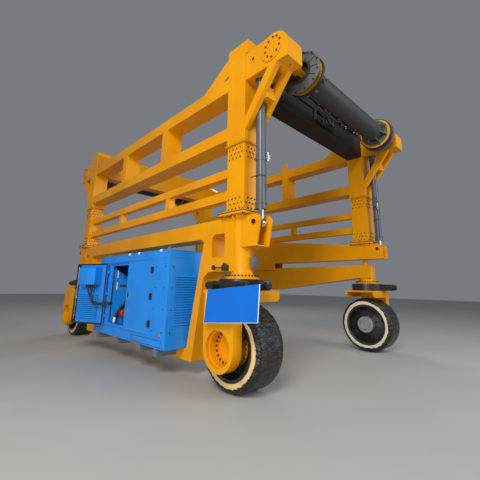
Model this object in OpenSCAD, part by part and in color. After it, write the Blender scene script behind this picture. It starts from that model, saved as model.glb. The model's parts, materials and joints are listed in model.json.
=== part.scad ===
// Straddle carrier: portal machine on four steered wheels, with two side frames,
// a lifting upper frame and a generator set. +X is the front, +Z is up and right is -Y,
// where the generator hangs. The origin is on the floor, below the middle of the machine's box.

/* [Layout] */
// Half the distance between front and rear wheel axles
leg_x = 3480; // [3200:10:3800]
// Half the distance between the right and left steering axes
leg_y = 2290; // [2200:10:2500]
// Height of the leg tubes' lower flanges
leg_base_z = 1615; // [1600:5:1700]
// Height of the leg tubes' top flanges, where the sleeves stand
leg_top_z = 2675; // [2600:5:2750]
// Radius of the leg tubes
leg_r = 180; // [165:5:190]
// Thickness of the legs' round and square flanges
flange_t = 40; // [20:5:50]

/* [Wheels] */
// Radius of the tyres
tyre_r = 630; // [600:5:645]
// Width of the tyres
tyre_w = 550; // [450:10:560]
// Shift of the wheels' middle inboard of the steering axes
wheel_shift = 0; // [0:5:40]
// Radius of the rim's outside, where the tyre sits
rim_r = 455; // [440:5:470]
// Thickness of the rim's barrel
rim_wall = 26; // [16:2:40]
// Height of the rim's lips above its outside
rim_lip = 20; // [10:2:30]
// Radius of the wheel's hub
hub_r = 190; // [175:5:200]
// Radius of the spindle that the hub turns on
spindle_r = 90; // [60:5:110]

/* [Yokes] */
// Length of the yoke's top plate along the machine
yoke_l = 730; // [700:10:760]
// Reach of the yoke's top plate inboard of the steering axis
yoke_in = 490; // [420:10:500]
// Thickness of the yoke's top plate and ribs
yoke_t = 40; // [25:5:50]
// Depth of the ribs below the top plate
yoke_rib_h = 125; // [80:5:140]
// Half width of the fork arm
arm_r = 325; // [300:5:350]
// Thickness of the fork arm across the machine
arm_t = 180; // [160:10:240]
// Gap between the fork arm and the tyre
arm_gap = 35; // [30:5:60]
// Depth of the round recess in the fork arm's outer face
recess_depth = 190; // [150:5:200]
// Radius of the slewing drive's ring
slew_r = 375; // [350:5:400]
// Radius of the worm housing beside the ring
worm_r = 62; // [50:1:66]

/* [Right side frame] */
// Depth of the side frames' box section across the machine
frame_w = 400; // [340:10:440]
// Underside of the belly beam
belly_z = 250; // [200:10:320]
// Height of the belly beam
belly_h = 195; // [150:5:195]
// Height of the right top beam
beam_h = 300; // [240:10:340]

/* [Left side frame] */
// Underside of the left beam
left_beam_z = 2235; // [2200:5:2260]
// Rise of the left beam from its ends to its middle
left_beam_rise = 310; // [100:10:400]
// Top of the rocker beam below it
rocker_top_z = 2085; // [2000:5:2150]
// Depth of the rocker beam at its ends
rocker_end_h = 330; // [250:10:350]
// Depth of the rocker beam at its middle
rocker_mid_h = 670; // [500:10:700]

/* [Ears] */
// Thickness of the ear plates
ear_t = 30; // [16:2:40]
// Distance over the two ear plates of a leg
ear_span = 300; // [260:10:320]
// Radius of the ears' upper front corner
ear_round = 100; // [60:5:110]

/* [Sleeves and masts] */
// Length of the sleeves along the machine
sleeve_l = 410; // [400:5:430]
// Width of the sleeves across the machine
sleeve_w = 380; // [370:5:400]
// Height of the sleeves
sleeve_h = 1220; // [1100:10:1300]
// Wall of the sleeves
sleeve_wall = 12; // [8:1:16]
// Gap between the sleeve's wall and the mast, filled by wear pads
pad_t = 10; // [6:1:14]
// Height of the wear pads
pad_h = 230; // [150:10:260]
// Length of the masts' heads along the machine
mast_l = 440; // [430:5:460]
// Width of the masts' heads across the machine
mast_w = 410; // [400:5:440]
// Top of the masts
mast_top_z = 5835; // [5740:5:5950]

/* [Ladder rails] */
// Undersides of the lower and upper rails between the sleeves
rail_z = [2955, 3375];
// Heights of the lower and upper rails
rail_h = [170, 160];
// Width of the rails across the machine
rail_w = 160; // [120:10:180]
// Place of the rails' posts, from the middle
rail_post_x = 1200; // [900:50:1500]

/* [Upper frame] */
// Underside of the upper frame's lower beam
low_beam_z = 4035; // [4000:5:4100]
// Height of the upper frame's lower beam
low_beam_h = 240; // [200:10:280]
// Underside of the upper frame's top beam
top_beam_z = 5015; // [4900:5:5020]
// Height of the upper frame's top beam
top_beam_h = 265; // [240:5:320]
// Place of the upper frame's posts, from the middle
post_x = 1050; // [900:10:1300]
// Length of the posts along the machine
post_l = 220; // [180:10:260]
// Start of the haunch, from the middle
haunch_x = 2500; // [2300:10:2700]
// Rise of the haunch to the mast
haunch_h = 440; // [300:10:450]
// Length of the cross beams along the machine
cross_l = 400; // [360:10:420]

/* [Hoist] */
// Distance of the drum's axis in front of the leg's axis
drum_dx = 830; // [800:10:850]
// Height of the drum's axis
drum_z = 5270; // [5250:5:5300]
// Radius of the drum's tube
drum_r = 180; // [150:5:200]
// Radius of the drum's end discs
disc_r = 385; // [370:5:395]
// Radius of the drum's ribbed flanges
flange_r = 395; // [300:5:410]
// Radius of the spindles that the drum turns on
drum_pin_r = 60; // [45:5:70]
// Distance of the lift cylinders in front of the leg's axis
cyl_dx = 400; // [390:5:410]
// Radius of the lift cylinders' barrels
barrel_r = 78; // [65:1:80]
// Radius of the lift cylinders' rods
rod_r = 50; // [35:1:60]
// Height of the lift cylinders' lower pins
low_pin_z = 2485; // [2470:5:2500]
// Height of the lift cylinders' upper pins
high_pin_z = 5355; // [5300:5:5400]
// Radius of the lift cylinders' pins
pin_r = 40; // [25:1:45]

/* [Generator] */
// Outer face of the generator's canopy, from the middle
gen_y = 2900; // [2850:10:3000]
// Width of the canopy across the machine
gen_w = 1050; // [1000:10:1100]
// Rear end of the canopy
gen_x0 = -865; // [-1000:5:-700]
// Front end of the canopy
gen_x1 = 2284; // [2250:2:2290]
// Top of the canopy
gen_top_z = 2124; // [2100:2:2200]
// Height of the canopy's skid
skid_h = 146; // [100:2:200]
// Thickness of the canopy's walls and doors
panel_t = 40; // [25:5:50]
// Place of the rear door's hinge
door_x = -260; // [-320:5:-200]
// Width of the rear doorway
door_w = 950; // [900:5:980]
// Width of the front doorway
door_front_w = 980; // [900:5:1000]
// Angle that the rear door stands open
door_open = 157; // [120:1:165]
// Thickness of the control box on the rear door
box_t = 200; // [120:5:220]
// Pitch of the louvres
louvre_pitch = 43; // [36:1:60]

/* [Sign] */
// Length of the sign
sign_l = 1086; // [900:2:1200]
// Height of the sign
sign_h = 480; // [400:5:520]

/* [Hidden] */
$fn = 64;

// Sides: along the machine and across it
front = 1;
rear = -1;
left = 1;
right = -1;

// Clearances: seats that don't move, running fits, and gaps between moving pieces
seat = 0.3;
running = 0.05;
free = 5;

// Colours
frame_yellow = [0.92, 0.62, 0.05];
canopy_blue = [0.15, 0.47, 0.80];
steel_grey = [0.45, 0.47, 0.50];
dark = [0.12, 0.12, 0.12];

// Derived levels, from the floor up
skid_z = belly_z + belly_h;
canopy_z = skid_z + skid_h;
slew_h = 165;
slew_z = leg_base_z - free - slew_h;
yoke_z = slew_z - yoke_t;
beam_top_z = leg_top_z - 60;
beam_z = beam_top_z - beam_h;
ear_top_z = leg_top_z - 68;
left_beam_top_z = leg_top_z - flange_t - seat;
sleeve_top_z = leg_top_z + sleeve_h;
mast_head_z = sleeve_top_z + 20;
top_beam_top_z = top_beam_z + top_beam_h;

// Derived places along the machine
mast_in_x = leg_x - mast_l / 2;
mast_out_x = leg_x + mast_l / 2;
cyl_x = leg_x + cyl_dx;
drum_x = leg_x + drum_dx;
rail_end_x = leg_x - sleeve_l / 2;

// Derived places across the machine, from the middle between the wheels
frame_in = leg_y - 210;
frame_out = frame_in + frame_w;
wheel_y = leg_y - wheel_shift;
fork_in = wheel_y + tyre_w / 2 + arm_gap;
fork_out = fork_in + arm_t;
gen_in = gen_y - gen_w;
hinge_off = 18;
hinge_y = gen_y + hinge_off;
box_x = [135, 640];
box_reach = hinge_y + box_x[1] * sin(door_open) - (hinge_off + panel_t + box_t) * cos(door_open);
mid_y = (fork_out - box_reach) / 2;

// Derived sizes
top_flange = 560;
mast_inner_l = sleeve_l - 2 * sleeve_wall - 2 * pad_t;
mast_inner_w = sleeve_w - 2 * sleeve_wall - 2 * pad_t;

// Paint a sub-part and move it to the machine's own frame
module painted(c) {
  color(c) translate([0, -mid_y, 0]) children();
}

// Box between two corners
module block(low, high) {
  translate(low) cube(high - low);
}

// Outline drawn in X and Z, made thick from y0 to y1
module slab(y0, y1) {
  translate([0, y1, 0]) rotate([90, 0, 0]) linear_extrude(y1 - y0) children();
}

// Outline drawn in Y and Z, made thick from x0 to x1
module wall(x0, x1) {
  translate([x0, 0, 0]) rotate([90, 0, 90]) linear_extrude(x1 - x0) children();
}

// Round bar along Y
module bar_y(x, z, r, y0, y1) {
  translate([x, y0, z]) rotate([-90, 0, 0]) cylinder(h = y1 - y0, r = r);
}

// Closed outline from the points of its front half, which run between two places on the middle line
module twin_outline(half) {
  polygon(concat(half, [for (i = [len(half) - 1:-1:0]) [-half[i][0], half[i][1]]]));
}

// Outline and its mirror image about the machine's middle
module both_halves() {
  children();
  mirror([1, 0]) children();
}

// One corner of the machine, from the front left one
module corner(end, side) {
  mirror([end < 0 ? 1 : 0, 0, 0]) mirror([0, side < 0 ? 1 : 0, 0]) children();
}

// Both ends of one side
module both_ends(side) {
  for (end = [front, rear]) corner(end, side) children();
}

// Right side frame: top beam, two raked columns and the belly beam
column_foot_x = [2311, 2470];
column_head_x = [2692, 2710];
bracket_x = 2850;
bracket_z = leg_base_z + 120;
column_head_z = bracket_z - 100;
column_bevel = [92, 60];
window_x = [2920, 3250];
window_z = [1975, 2365];
window_bevel = 70;

module side_frame_outline() {
  difference() {
    twin_outline([
      [leg_x, beam_top_z], [leg_x, bracket_z], [bracket_x, bracket_z],
      [column_head_x[1], column_head_z], [column_foot_x[1], belly_z]
    ]);
    twin_outline([
      [column_head_x[0] - column_bevel[0], beam_z], [column_head_x[0], beam_z - column_bevel[1]],
      [column_foot_x[0], skid_z]
    ]);
    both_halves() polygon([
      [window_x[0], window_z[0]], [window_x[1], window_z[0]], [window_x[1], window_z[1]],
      [window_x[0] + window_bevel, window_z[1]], [window_x[0], window_z[1] - window_bevel]
    ]);
  }
}

module side_frame_right() {
  painted(frame_yellow) mirror([0, 1, 0]) difference() {
    slab(frame_in, frame_out) side_frame_outline();
    for (end = [front, rear])
      translate([end * leg_x, leg_y, 0]) cylinder(h = leg_top_z, r = leg_r + seat);
  }
}

// Legs: a tube on a round flange with a flared foot, and the spigot of the slewing drive
leg_flange_r = 275;
foot_r = 250;
foot_t = 20;
foot_h = bracket_z - leg_base_z - flange_t;
spigot_h = 145;

module leg_tube(top_z) {
  translate([leg_x, leg_y, leg_base_z]) {
    cylinder(h = flange_t, r = leg_flange_r);
    for (turn = [0:90:270]) rotate([0, 0, turn]) wall(-foot_t / 2, foot_t / 2) polygon([
      [leg_r - 5, flange_t - 1], [foot_r, flange_t - 1], [foot_r, flange_t + 15], [leg_r - 5, flange_t + foot_h - seat]
    ]);
    cylinder(h = top_z - leg_base_z, r = leg_r);
    translate([0, 0, -spigot_h]) cylinder(h = spigot_h + 1, r = leg_r - running);
  }
}

module top_flange_plate() {
  block([leg_x - top_flange / 2, leg_y - top_flange / 2, leg_top_z - flange_t],
    [leg_x + top_flange / 2, leg_y + top_flange / 2, leg_top_z]);
}

// Gussets between the leg tube and its top flange, in front of the side frame's end
gusset = [75, 190];
gusset_t = 16;

module top_gussets() {
  z = leg_top_z - flange_t + 1;
  for (s = [-1, 1]) translate([leg_x, leg_y, 0]) wall(seat, seat + gusset_t) polygon([
    [s * (leg_r - 5), z], [s * (leg_r + gusset[0]), z], [s * (leg_r + gusset[0]), z - 30], [s * (leg_r - 5), z - gusset[1]]
  ]);
}

// Pair of ear plates in front of a leg, with the lift cylinder's lower pin
ear_reach = 120;
ear_floor_t = 20;

module ears(back_x, low_x, low_z) {
  front_x = cyl_x + ear_reach;
  half = ear_span / 2;
  for (y = [leg_y - half, leg_y + half - ear_t]) slab(y, y + ear_t) {
    polygon([
      [back_x, low_z], [low_x, low_z], [front_x, ear_top_z - ear_round],
      [front_x - ear_round, ear_top_z], [back_x, ear_top_z]
    ]);
    translate([front_x - ear_round, ear_top_z - ear_round]) circle(r = ear_round);
  }
  block([back_x, leg_y - half + 1, low_z], [low_x, leg_y + half - 1, low_z + ear_floor_t]);
  bar_y(cyl_x, low_pin_z, pin_r, leg_y - half - 20, leg_y + half + 20);
}

ear_back_right = 80;
ear_box_l = 140;
ear_low_right = [445, 2110];

module legs_right() {
  painted(frame_yellow) both_ends(right) {
    leg_tube(leg_top_z - flange_t + 1);
    top_flange_plate();
    top_gussets();
    ears(leg_x + ear_back_right, leg_x + ear_low_right[0], ear_low_right[1]);
    block([leg_x + ear_back_right, leg_y - ear_span / 2 + 20, ear_low_right[1]],
      [leg_x + ear_back_right + ear_box_l, leg_y + ear_span / 2 - 20, ear_top_z]);
  }
}

// Left beam, fixed below the sleeves
beam_inset = 20;
left_beam_end = 240;
left_beam_mid = 350;
rocker_pin_z = 2395;
rocker_pin_r = 60;

module beam_left() {
  painted(frame_yellow) difference() {
    slab(frame_in + beam_inset, frame_out - beam_inset) twin_outline([
      [left_beam_mid, left_beam_top_z + left_beam_rise], [leg_x - top_flange / 2 - 20, left_beam_top_z],
      [leg_x + left_beam_end, left_beam_top_z], [leg_x + left_beam_end, left_beam_z]
    ]);
    bar_y(0, rocker_pin_z, rocker_pin_r + seat, frame_in, frame_out);
  }
}

// Flanges and ears of the left legs, on the beam's ends
module leg_heads_left() {
  back_x = leg_x + left_beam_end + seat;
  half = ear_span / 2;
  painted(frame_yellow) both_ends(left) {
    top_flange_plate();
    ears(back_x, cyl_x + ear_reach, left_beam_z);
    block([back_x, leg_y - half, left_beam_z], [back_x + ear_t, leg_y + half, leg_top_z - flange_t + 1]);
  }
}

// Rocker beam, which hangs on one pin below the left beam, with a post under each end of that
rocker_end = 160;
rocker_mid_x = 600;
hanger = [580, 110];
hanger_t = 40;
post_r = 60;

module rocker_left() {
  low_z = rocker_top_z - rocker_mid_h;
  foot_z = rocker_top_z - 60;
  painted(frame_yellow) {
    slab(frame_in + beam_inset, frame_out - beam_inset) twin_outline([
      [leg_x + rocker_end, rocker_top_z], [leg_x + rocker_end, rocker_top_z - rocker_end_h],
      [leg_x - rocker_end, rocker_top_z - rocker_end_h], [rocker_mid_x, low_z]
    ]);
    for (y = [frame_in - beam_inset, frame_out - beam_inset + seat])
      slab(y, y + hanger_t - seat) twin_outline([
        [hanger[0], foot_z], [hanger[0], left_beam_z], [hanger[1], rocker_pin_z + 260]
      ]);
    block([-hanger[0], frame_in - beam_inset, foot_z], [hanger[0], frame_out + beam_inset, foot_z + 50]);
    bar_y(0, rocker_pin_z, rocker_pin_r, frame_in - beam_inset - 10, frame_out + beam_inset + 10);
    for (end = [front, rear]) corner(end, left) {
      leg_tube(rocker_top_z - 50);
      translate([leg_x, leg_y, rocker_top_z - 1])
        cylinder(h = left_beam_z - rocker_top_z + 1 - seat, r = post_r);
    }
  }
}

// Sleeves that guide the masts
collar_t = 20;
collar = [480, 450];

module sleeve() {
  translate([leg_x, leg_y, leg_top_z]) difference() {
    union() {
      translate([-sleeve_l / 2, -sleeve_w / 2, 0]) cube([sleeve_l, sleeve_w, sleeve_h]);
      translate([-top_flange / 2, -top_flange / 2, 0]) cube([top_flange, top_flange, collar_t]);
      translate([-collar[0] / 2, -collar[1] / 2, sleeve_h - collar_t])
        cube([collar[0], collar[1], collar_t]);
    }
    translate([-sleeve_l / 2 + sleeve_wall, -sleeve_w / 2 + sleeve_wall, -1])
      cube([sleeve_l - 2 * sleeve_wall, sleeve_w - 2 * sleeve_wall, sleeve_h + 2]);
  }
}

module sleeves_right() {
  painted(frame_yellow) both_ends(right) sleeve();
}

module sleeves_left() {
  painted(frame_yellow) both_ends(left) sleeve();
}

// Wear pads between sleeves and masts: two bands in each sleeve
pad_inset = 50;
pad_edge = 40;

module pad_set() {
  in_l = sleeve_l / 2 - sleeve_wall;
  in_w = sleeve_w / 2 - sleeve_wall;
  for (z = [pad_inset, sleeve_h - pad_inset - pad_h])
    translate([leg_x, leg_y, leg_top_z + z + pad_h / 2]) for (s = [-1, 1]) {
      translate([s * (in_l - (pad_t + seat) / 2), 0, 0])
        cube([pad_t - seat, 2 * (in_w - pad_edge), pad_h], center = true);
      translate([0, s * (in_w - (pad_t + seat) / 2), 0])
        cube([2 * (in_l - pad_edge), pad_t - seat, pad_h], center = true);
    }
}

module wear_pads() {
  painted(dark) for (side = [left, right]) both_ends(side) pad_set();
}

// Ladder rails between the sleeves, with two posts on each side
rail_out = 100;
rail_post = [160, 140];

module mid_rails() {
  y1 = leg_y + rail_out;
  painted(frame_yellow) for (side = [left, right]) corner(front, side) {
    for (i = [0, 1]) block([-rail_end_x, y1 - rail_w, rail_z[i]], [rail_end_x, y1, rail_z[i] + rail_h[i]]);
    for (s = [-1, 1]) translate([s * rail_post_x - rail_post[0] / 2, y1 - (rail_w + rail_post[1]) / 2, rail_z[0] + 1])
      cube([rail_post[0], rail_post[1], rail_z[1] - rail_z[0]]);
  }
}

// Lift cylinders: rods stand on the legs, barrels hang in the arms
gland_z = 2700;
gland_h = 90;
eye_r = 78;
eye_w = 80;
top_eye_r = 88;
rod_top_z = 4950;
barrel_bore_top_z = 5100;
clamp_z = 3520;
valve_block = [3600, 3840];

module lift_rods() {
  painted(steel_grey) for (side = [left, right]) both_ends(side) difference() {
    union() {
      bar_y(cyl_x, low_pin_z, eye_r, leg_y - eye_w / 2, leg_y + eye_w / 2);
      translate([cyl_x, leg_y, low_pin_z + pin_r]) cylinder(h = rod_top_z - low_pin_z - pin_r, r = rod_r);
    }
    bar_y(cyl_x, low_pin_z, pin_r + running, leg_y - eye_w, leg_y + eye_w);
  }
}

module lift_barrel() {
  difference() {
    union() {
      translate([cyl_x, leg_y, gland_z]) cylinder(h = gland_h, r = barrel_r + 12);
      translate([cyl_x, leg_y, gland_z]) cylinder(h = high_pin_z - pin_r - gland_z, r = barrel_r);
      translate([cyl_x, leg_y, clamp_z]) cylinder(h = 50, r = barrel_r + 9);
      block([cyl_x - 45, leg_y - barrel_r - 45, valve_block[0]], [cyl_x + 45, leg_y - barrel_r + 15, valve_block[1]]);
      bar_y(cyl_x, high_pin_z, top_eye_r, leg_y - eye_w / 2, leg_y + eye_w / 2);
    }
    translate([cyl_x, leg_y, gland_z - 1]) cylinder(h = barrel_bore_top_z - gland_z, r = rod_r + running);
    bar_y(cyl_x, high_pin_z, pin_r + running, leg_y - eye_w, leg_y + eye_w);
  }
}

module lift_barrels() {
  painted(steel_grey) for (side = [left, right]) both_ends(side) lift_barrel();
}

// Masts: the lower part slides in the sleeve, the head carries the upper frame
mast_foot_z = leg_top_z + collar_t + 65;
mast_nose = 60;
arm_top_z = 5565;
bolt_dx = 170;
bolt_dy = 155;
bolt_r = 9;
bolt_depth = 60;

module mast() {
  translate([leg_x, leg_y, 0]) {
    block([-mast_inner_l / 2, -mast_inner_w / 2, mast_foot_z], [mast_inner_l / 2, mast_inner_w / 2, mast_head_z + 1]);
    difference() {
      union() {
        block([-mast_l / 2, -mast_w / 2, mast_head_z], [mast_l / 2, mast_w / 2, mast_top_z]);
        block([-mast_l / 2, -mast_w / 2, arm_top_z + free], [mast_l / 2 + mast_nose, mast_w / 2, mast_top_z]);
      }
      for (x = [-bolt_dx, bolt_dx], y = [-bolt_dy, bolt_dy])
        translate([x, y, mast_top_z - bolt_depth]) cylinder(h = bolt_depth + 1, r = bolt_r);
    }
  }
}

module masts_right() {
  painted(frame_yellow) both_ends(right) mast();
}

module masts_left() {
  painted(frame_yellow) both_ends(left) mast();
}

// Upper side frames between the masts, with a haunch and its pocket at each end
pocket = [[3089, 7], [3245, 7], [3245, 77]];
pocket_depth = 150;
lug_x = 1000;
lug = [240, 260, 40];
lug_bore_r = 30;
lug_bore_h = 170;

module ladder_outline() {
  low_top_z = low_beam_z + low_beam_h;
  twin_outline([[mast_in_x, low_beam_z], [mast_in_x, low_top_z]]);
  twin_outline([
    [mast_in_x, top_beam_z], [mast_in_x, top_beam_top_z + haunch_h], [haunch_x, top_beam_top_z]
  ]);
  both_halves() translate([post_x - post_l / 2, low_beam_z]) square([post_l, top_beam_top_z - low_beam_z]);
}

module upper_side_frame() {
  difference() {
    slab(frame_in, frame_out) ladder_outline();
    slab(frame_out - pocket_depth, frame_out + 1) translate([0, top_beam_top_z]) both_halves() polygon(pocket);
  }
  for (s = [-1, 1]) difference() {
    block([s * lug_x - lug[0] / 2, frame_in + 60, top_beam_top_z - 1],
      [s * lug_x + lug[0] / 2, frame_in + 60 + lug[2], top_beam_top_z + lug[1]]);
    bar_y(s * lug_x, top_beam_top_z + lug_bore_h, lug_bore_r, frame_in, frame_out);
  }
}

module upper_frame_right() {
  painted(frame_yellow) corner(front, right) upper_side_frame();
}

module upper_frame_left() {
  painted(frame_yellow) corner(front, left) upper_side_frame();
}

// Cross beams between the masts
cross_lap = [7, 3];

module cross_beam(end) {
  y1 = leg_y - mast_w / 2;
  corner(end, left) block([leg_x - cross_l / 2, -y1, top_beam_z + cross_lap[0]],
    [leg_x + cross_l / 2, y1, mast_top_z - cross_lap[1]]);
}

module cross_beam_front() {
  painted(dark) cross_beam(front);
}

module cross_beam_rear() {
  painted(frame_yellow) cross_beam(rear);
}

// Arms that carry the drums: hollow boxes with a round nose, a cover plate and two struts
arm_wall = 20;
arm_low_z = drum_z - 240;
nose_r = 290;
nose = [drum_x + 5, drum_z + 35];
cover_r = 200;
cover = [[drum_x - 30, drum_z + 30], [drum_x + 20, drum_z + 90]];
cover_t = 12;
stub = [70, 1760];
strut_w = 100;
strut_low = [4100, 4330];
strut_high = [4200, 4400];
tie = [[3960, 4565], [4110, 4775]];

module arm_outline(inset) {
  x0 = mast_out_x + seat + inset;
  x1 = nose[0] + nose_r - inset;
  z1 = nose[1] + nose_r - inset;
  translate(nose) circle(r = nose_r - inset);
  polygon([
    [x0, arm_low_z + inset], [x1, arm_low_z + inset], [x1, nose[1]], [nose[0], z1],
    [nose[0] - 150, arm_top_z + 9 - inset], [x0, arm_top_z - inset]
  ]);
}

module hoist_arm() {
  difference() {
    union() {
      slab(frame_in, frame_out) arm_outline(0);
      slab(frame_out - 1, frame_out + cover_t) hull() for (p = cover) translate(p) circle(r = cover_r);
    }
    slab(frame_in + arm_wall, frame_out - arm_wall) arm_outline(arm_wall);
    translate([cyl_x, leg_y, arm_low_z - 1]) cylinder(h = arm_wall + 2, r = barrel_r + 14);
    translate([drum_x + 184, leg_y - 33, arm_low_z - 1]) cylinder(h = arm_wall + 2, r = 18);
  }
  bar_y(cyl_x, high_pin_z, pin_r, frame_in + arm_wall / 2, frame_out - arm_wall / 2);
  block([drum_x - stub[0], stub[1], drum_z - stub[0]], [drum_x + stub[0], frame_in + 1, drum_z + stub[0]]);
  bar_y(drum_x, drum_z, drum_pin_r, well_y[0] + 15, stub[1] + 1);
  for (y = [frame_in, frame_out - strut_w]) slab(y, y + strut_w) polygon([
    [mast_out_x + seat, strut_low[0]], [strut_high[1], arm_low_z + 1], [strut_high[0], arm_low_z + 1],
    [mast_out_x + seat, strut_low[1]]
  ]);
  block([tie[0][0], frame_in + strut_w - 1, tie[0][1]], [tie[1][0], frame_out - strut_w + 1, tie[1][1]]);
}

module hoist_arms_front() {
  painted(frame_yellow) for (side = [left, right]) corner(front, side) hoist_arm();
}

module hoist_arms_rear() {
  painted(frame_yellow) for (side = [left, right]) corner(rear, side) hoist_arm();
}

// Drums: a tube with a gusseted hub plate, a dished end disc with a rim, and a ribbed bearing
// flange round the well that the arm's spindle enters, at each end
plate_y = 1460;
plate_r = 315;
disc_y = 1500;
rim_w = 70;
neck_r = 230;
flange_y = 1680;
well_r = 184;
well_y = [1560, 1640];
gussets = 8;
gusset_y = 1250;
ribs = 12;
rib_t = 14;

module drum_profile() {
  bore_r = drum_pin_r + running;
  polygon([
    [0, -1], [drum_r, -1], [drum_r, plate_y], [plate_r, plate_y], [plate_r, plate_y + 22],
    [drum_r + 15, disc_y + 8], [disc_r - 25, disc_y], [disc_r, disc_y + 10], [disc_r, disc_y + rim_w],
    [disc_r - 20, disc_y + rim_w], [disc_r - 24, disc_y + 45], [neck_r, disc_y + 60], [neck_r, flange_y - 20],
    [flange_r, flange_y], [flange_r, flange_y + 35], [flange_r - 28, flange_y + 45], [flange_r - 40, flange_y + 25],
    [well_r + 34, flange_y + 40], [well_r + 28, flange_y + 60], [well_r + 3, flange_y + 60],
    [well_r, flange_y + 50], [well_r, well_y[1]], [bore_r, well_y[1]], [bore_r, well_y[0]], [0, well_y[0]]
  ]);
}

module drum_half() {
  rotate_extrude() drum_profile();
  for (i = [0:gussets - 1]) rotate([0, 0, (i + 0.5) * 360 / gussets]) rotate([90, 0, 0])
    translate([0, 0, -rib_t / 2]) linear_extrude(rib_t) polygon([
      [drum_r - 5, gusset_y], [plate_r - 15, plate_y - 30], [plate_r - 15, plate_y + 1], [drum_r - 5, plate_y + 1]
    ]);
  for (i = [0:ribs - 1]) rotate([0, 0, i * 360 / ribs]) rotate([90, 0, 0])
    translate([0, 0, -rib_t / 2]) linear_extrude(rib_t) polygon([
      [well_r + 25, flange_y + 20], [flange_r - 35, flange_y + 20], [flange_r - 35, flange_y + 38],
      [well_r + 25, flange_y + 54]
    ]);
}

module drum(end) {
  painted(steel_grey) corner(end, left) for (side = [left, right])
    corner(front, side) translate([drum_x, 0, drum_z]) rotate([-90, 0, 0]) drum_half();
}

// Yokes: a top plate with two cross ribs, the fork arm outside the wheel and its spindle
rib_round = 80;
recess_step_r = 233;
recess_ledge = [22, 30];
recess_r = recess_step_r + recess_ledge[0];
recess_floor_r = recess_step_r - recess_ledge[1];
recess_floor = 34;
motor_wall = 17;
motor_r = recess_step_r + motor_wall;
motor_l = 180;
spindle_in = 180;

module yoke(end, side) {
  x1 = yoke_l / 2;
  y0 = leg_y - yoke_in;
  z0 = yoke_z - yoke_rib_h;
  painted(frame_yellow) corner(end, side) translate([leg_x, 0, 0]) difference() {
    union() {
      block([-x1, y0, yoke_z], [x1, fork_out, slew_z]);
      for (x = [-x1, x1 - yoke_t]) wall(x, x + yoke_t) {
        polygon([
          [y0, yoke_z + 1], [fork_in + 1, yoke_z + 1], [fork_in + 1, z0], [y0 + rib_round, z0], [y0, z0 + rib_round]
        ]);
        translate([y0 + rib_round, z0 + rib_round]) circle(r = rib_round);
      }
      slab(fork_in, fork_out) {
        translate([0, tyre_r]) circle(r = arm_r);
        translate([-arm_r, tyre_r]) square([2 * arm_r, yoke_z - tyre_r + 1]);
      }
      bar_y(0, tyre_r, motor_r, fork_in - motor_l, fork_in + 1);
      bar_y(0, tyre_r, spindle_r, wheel_y - spindle_in, fork_in);
    }
    bar_y(0, tyre_r, recess_r, fork_out - recess_depth / 3, fork_out + 1);
    bar_y(0, tyre_r, recess_step_r, fork_out - recess_depth, fork_out + 1);
    bar_y(0, tyre_r, recess_floor_r, fork_out - recess_depth - recess_floor, fork_out + 1);
  }
}

// Slewing drives: ring, worm housing beside it and motor
worm_y = leg_y + 325;
worm_z = slew_z + 72;
worm_x = [-450, 450];
motor_x = [320, 580];
motor_y = [10, 230];
motor_z = [5, 155];

module slew(end, side) {
  painted(dark) corner(end, side) translate([leg_x, leg_y, slew_z]) difference() {
    union() {
      cylinder(h = slew_h, r = slew_r);
      translate([worm_x[0], worm_y - leg_y, worm_z - slew_z]) rotate([0, 90, 0])
        cylinder(h = worm_x[1] - worm_x[0], r = worm_r);
      block([motor_x[0], motor_y[0], motor_z[0]], [motor_x[1], motor_y[1], motor_z[1]]);
      block([-240, worm_y - leg_y - worm_r - 40, 12], [240, worm_y - leg_y, 132]);
    }
    translate([0, 0, -1]) cylinder(h = slew_h + 2, r = leg_r);
  }
}

// Wheels: a dished rim on a deep hub, and a plain tyre
hub_face = -300;
hub_floor = -275;
hub_end = 20;
dish = [-90, -10];

module rim(end, side) {
  w = tyre_w / 2;
  inner_r = rim_r - rim_wall;
  painted(dark) corner(end, side) translate([leg_x, wheel_y, tyre_r]) rotate([-90, 0, 0]) difference() {
    rotate_extrude() polygon([
      [0, hub_floor], [hub_r * 0.66, hub_floor], [hub_r * 0.66, hub_face], [hub_r - 12, hub_face],
      [hub_r, hub_face + 12], [hub_r, dish[0] - 20], [hub_r + 45, dish[0] - 10], [inner_r, dish[0] + 40], [inner_r, -w],
      [rim_r + rim_lip, -w - 12], [rim_r + rim_lip, -w], [rim_r, -w + 15],
      [rim_r, w - 15], [rim_r + rim_lip, w], [rim_r + rim_lip, w + 12],
      [inner_r, w], [inner_r, dish[0] + 75], [hub_r, hub_end], [0, hub_end]
    ]);
    translate([0, 0, -spindle_in - 10]) cylinder(h = 400, r = spindle_r + running);
  }
}

module tyre(end, side) {
  w = tyre_w / 2;
  painted(dark) corner(end, side) translate([leg_x, wheel_y, tyre_r]) rotate([-90, 0, 0]) rotate_extrude() polygon([
    [rim_r + seat, -w + 20], [rim_r + rim_lip + 2, -w + 8], [rim_r + 60, -w], [tyre_r - 80, -w],
    [tyre_r - 30, -w + 15], [tyre_r, -w + 50], [tyre_r, w - 50], [tyre_r - 30, w - 15],
    [tyre_r - 80, w], [rim_r + 60, w], [rim_r + rim_lip + 2, w - 8], [rim_r + seat, w - 20]
  ]);
}

// Blank sign that hangs on the front right slewing drive
sign_t = 4;
sign_x = 3290;
sign_z = 975;
sign_y = 2885;
sign_lean = 10;
sign_turn = 5;
sign_hangers = [3350, 3800];

// Place of the sign's inner face at a height, across the machine
function sign_at(z) = sign_y - (z - sign_z) * tan(sign_lean);

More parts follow.
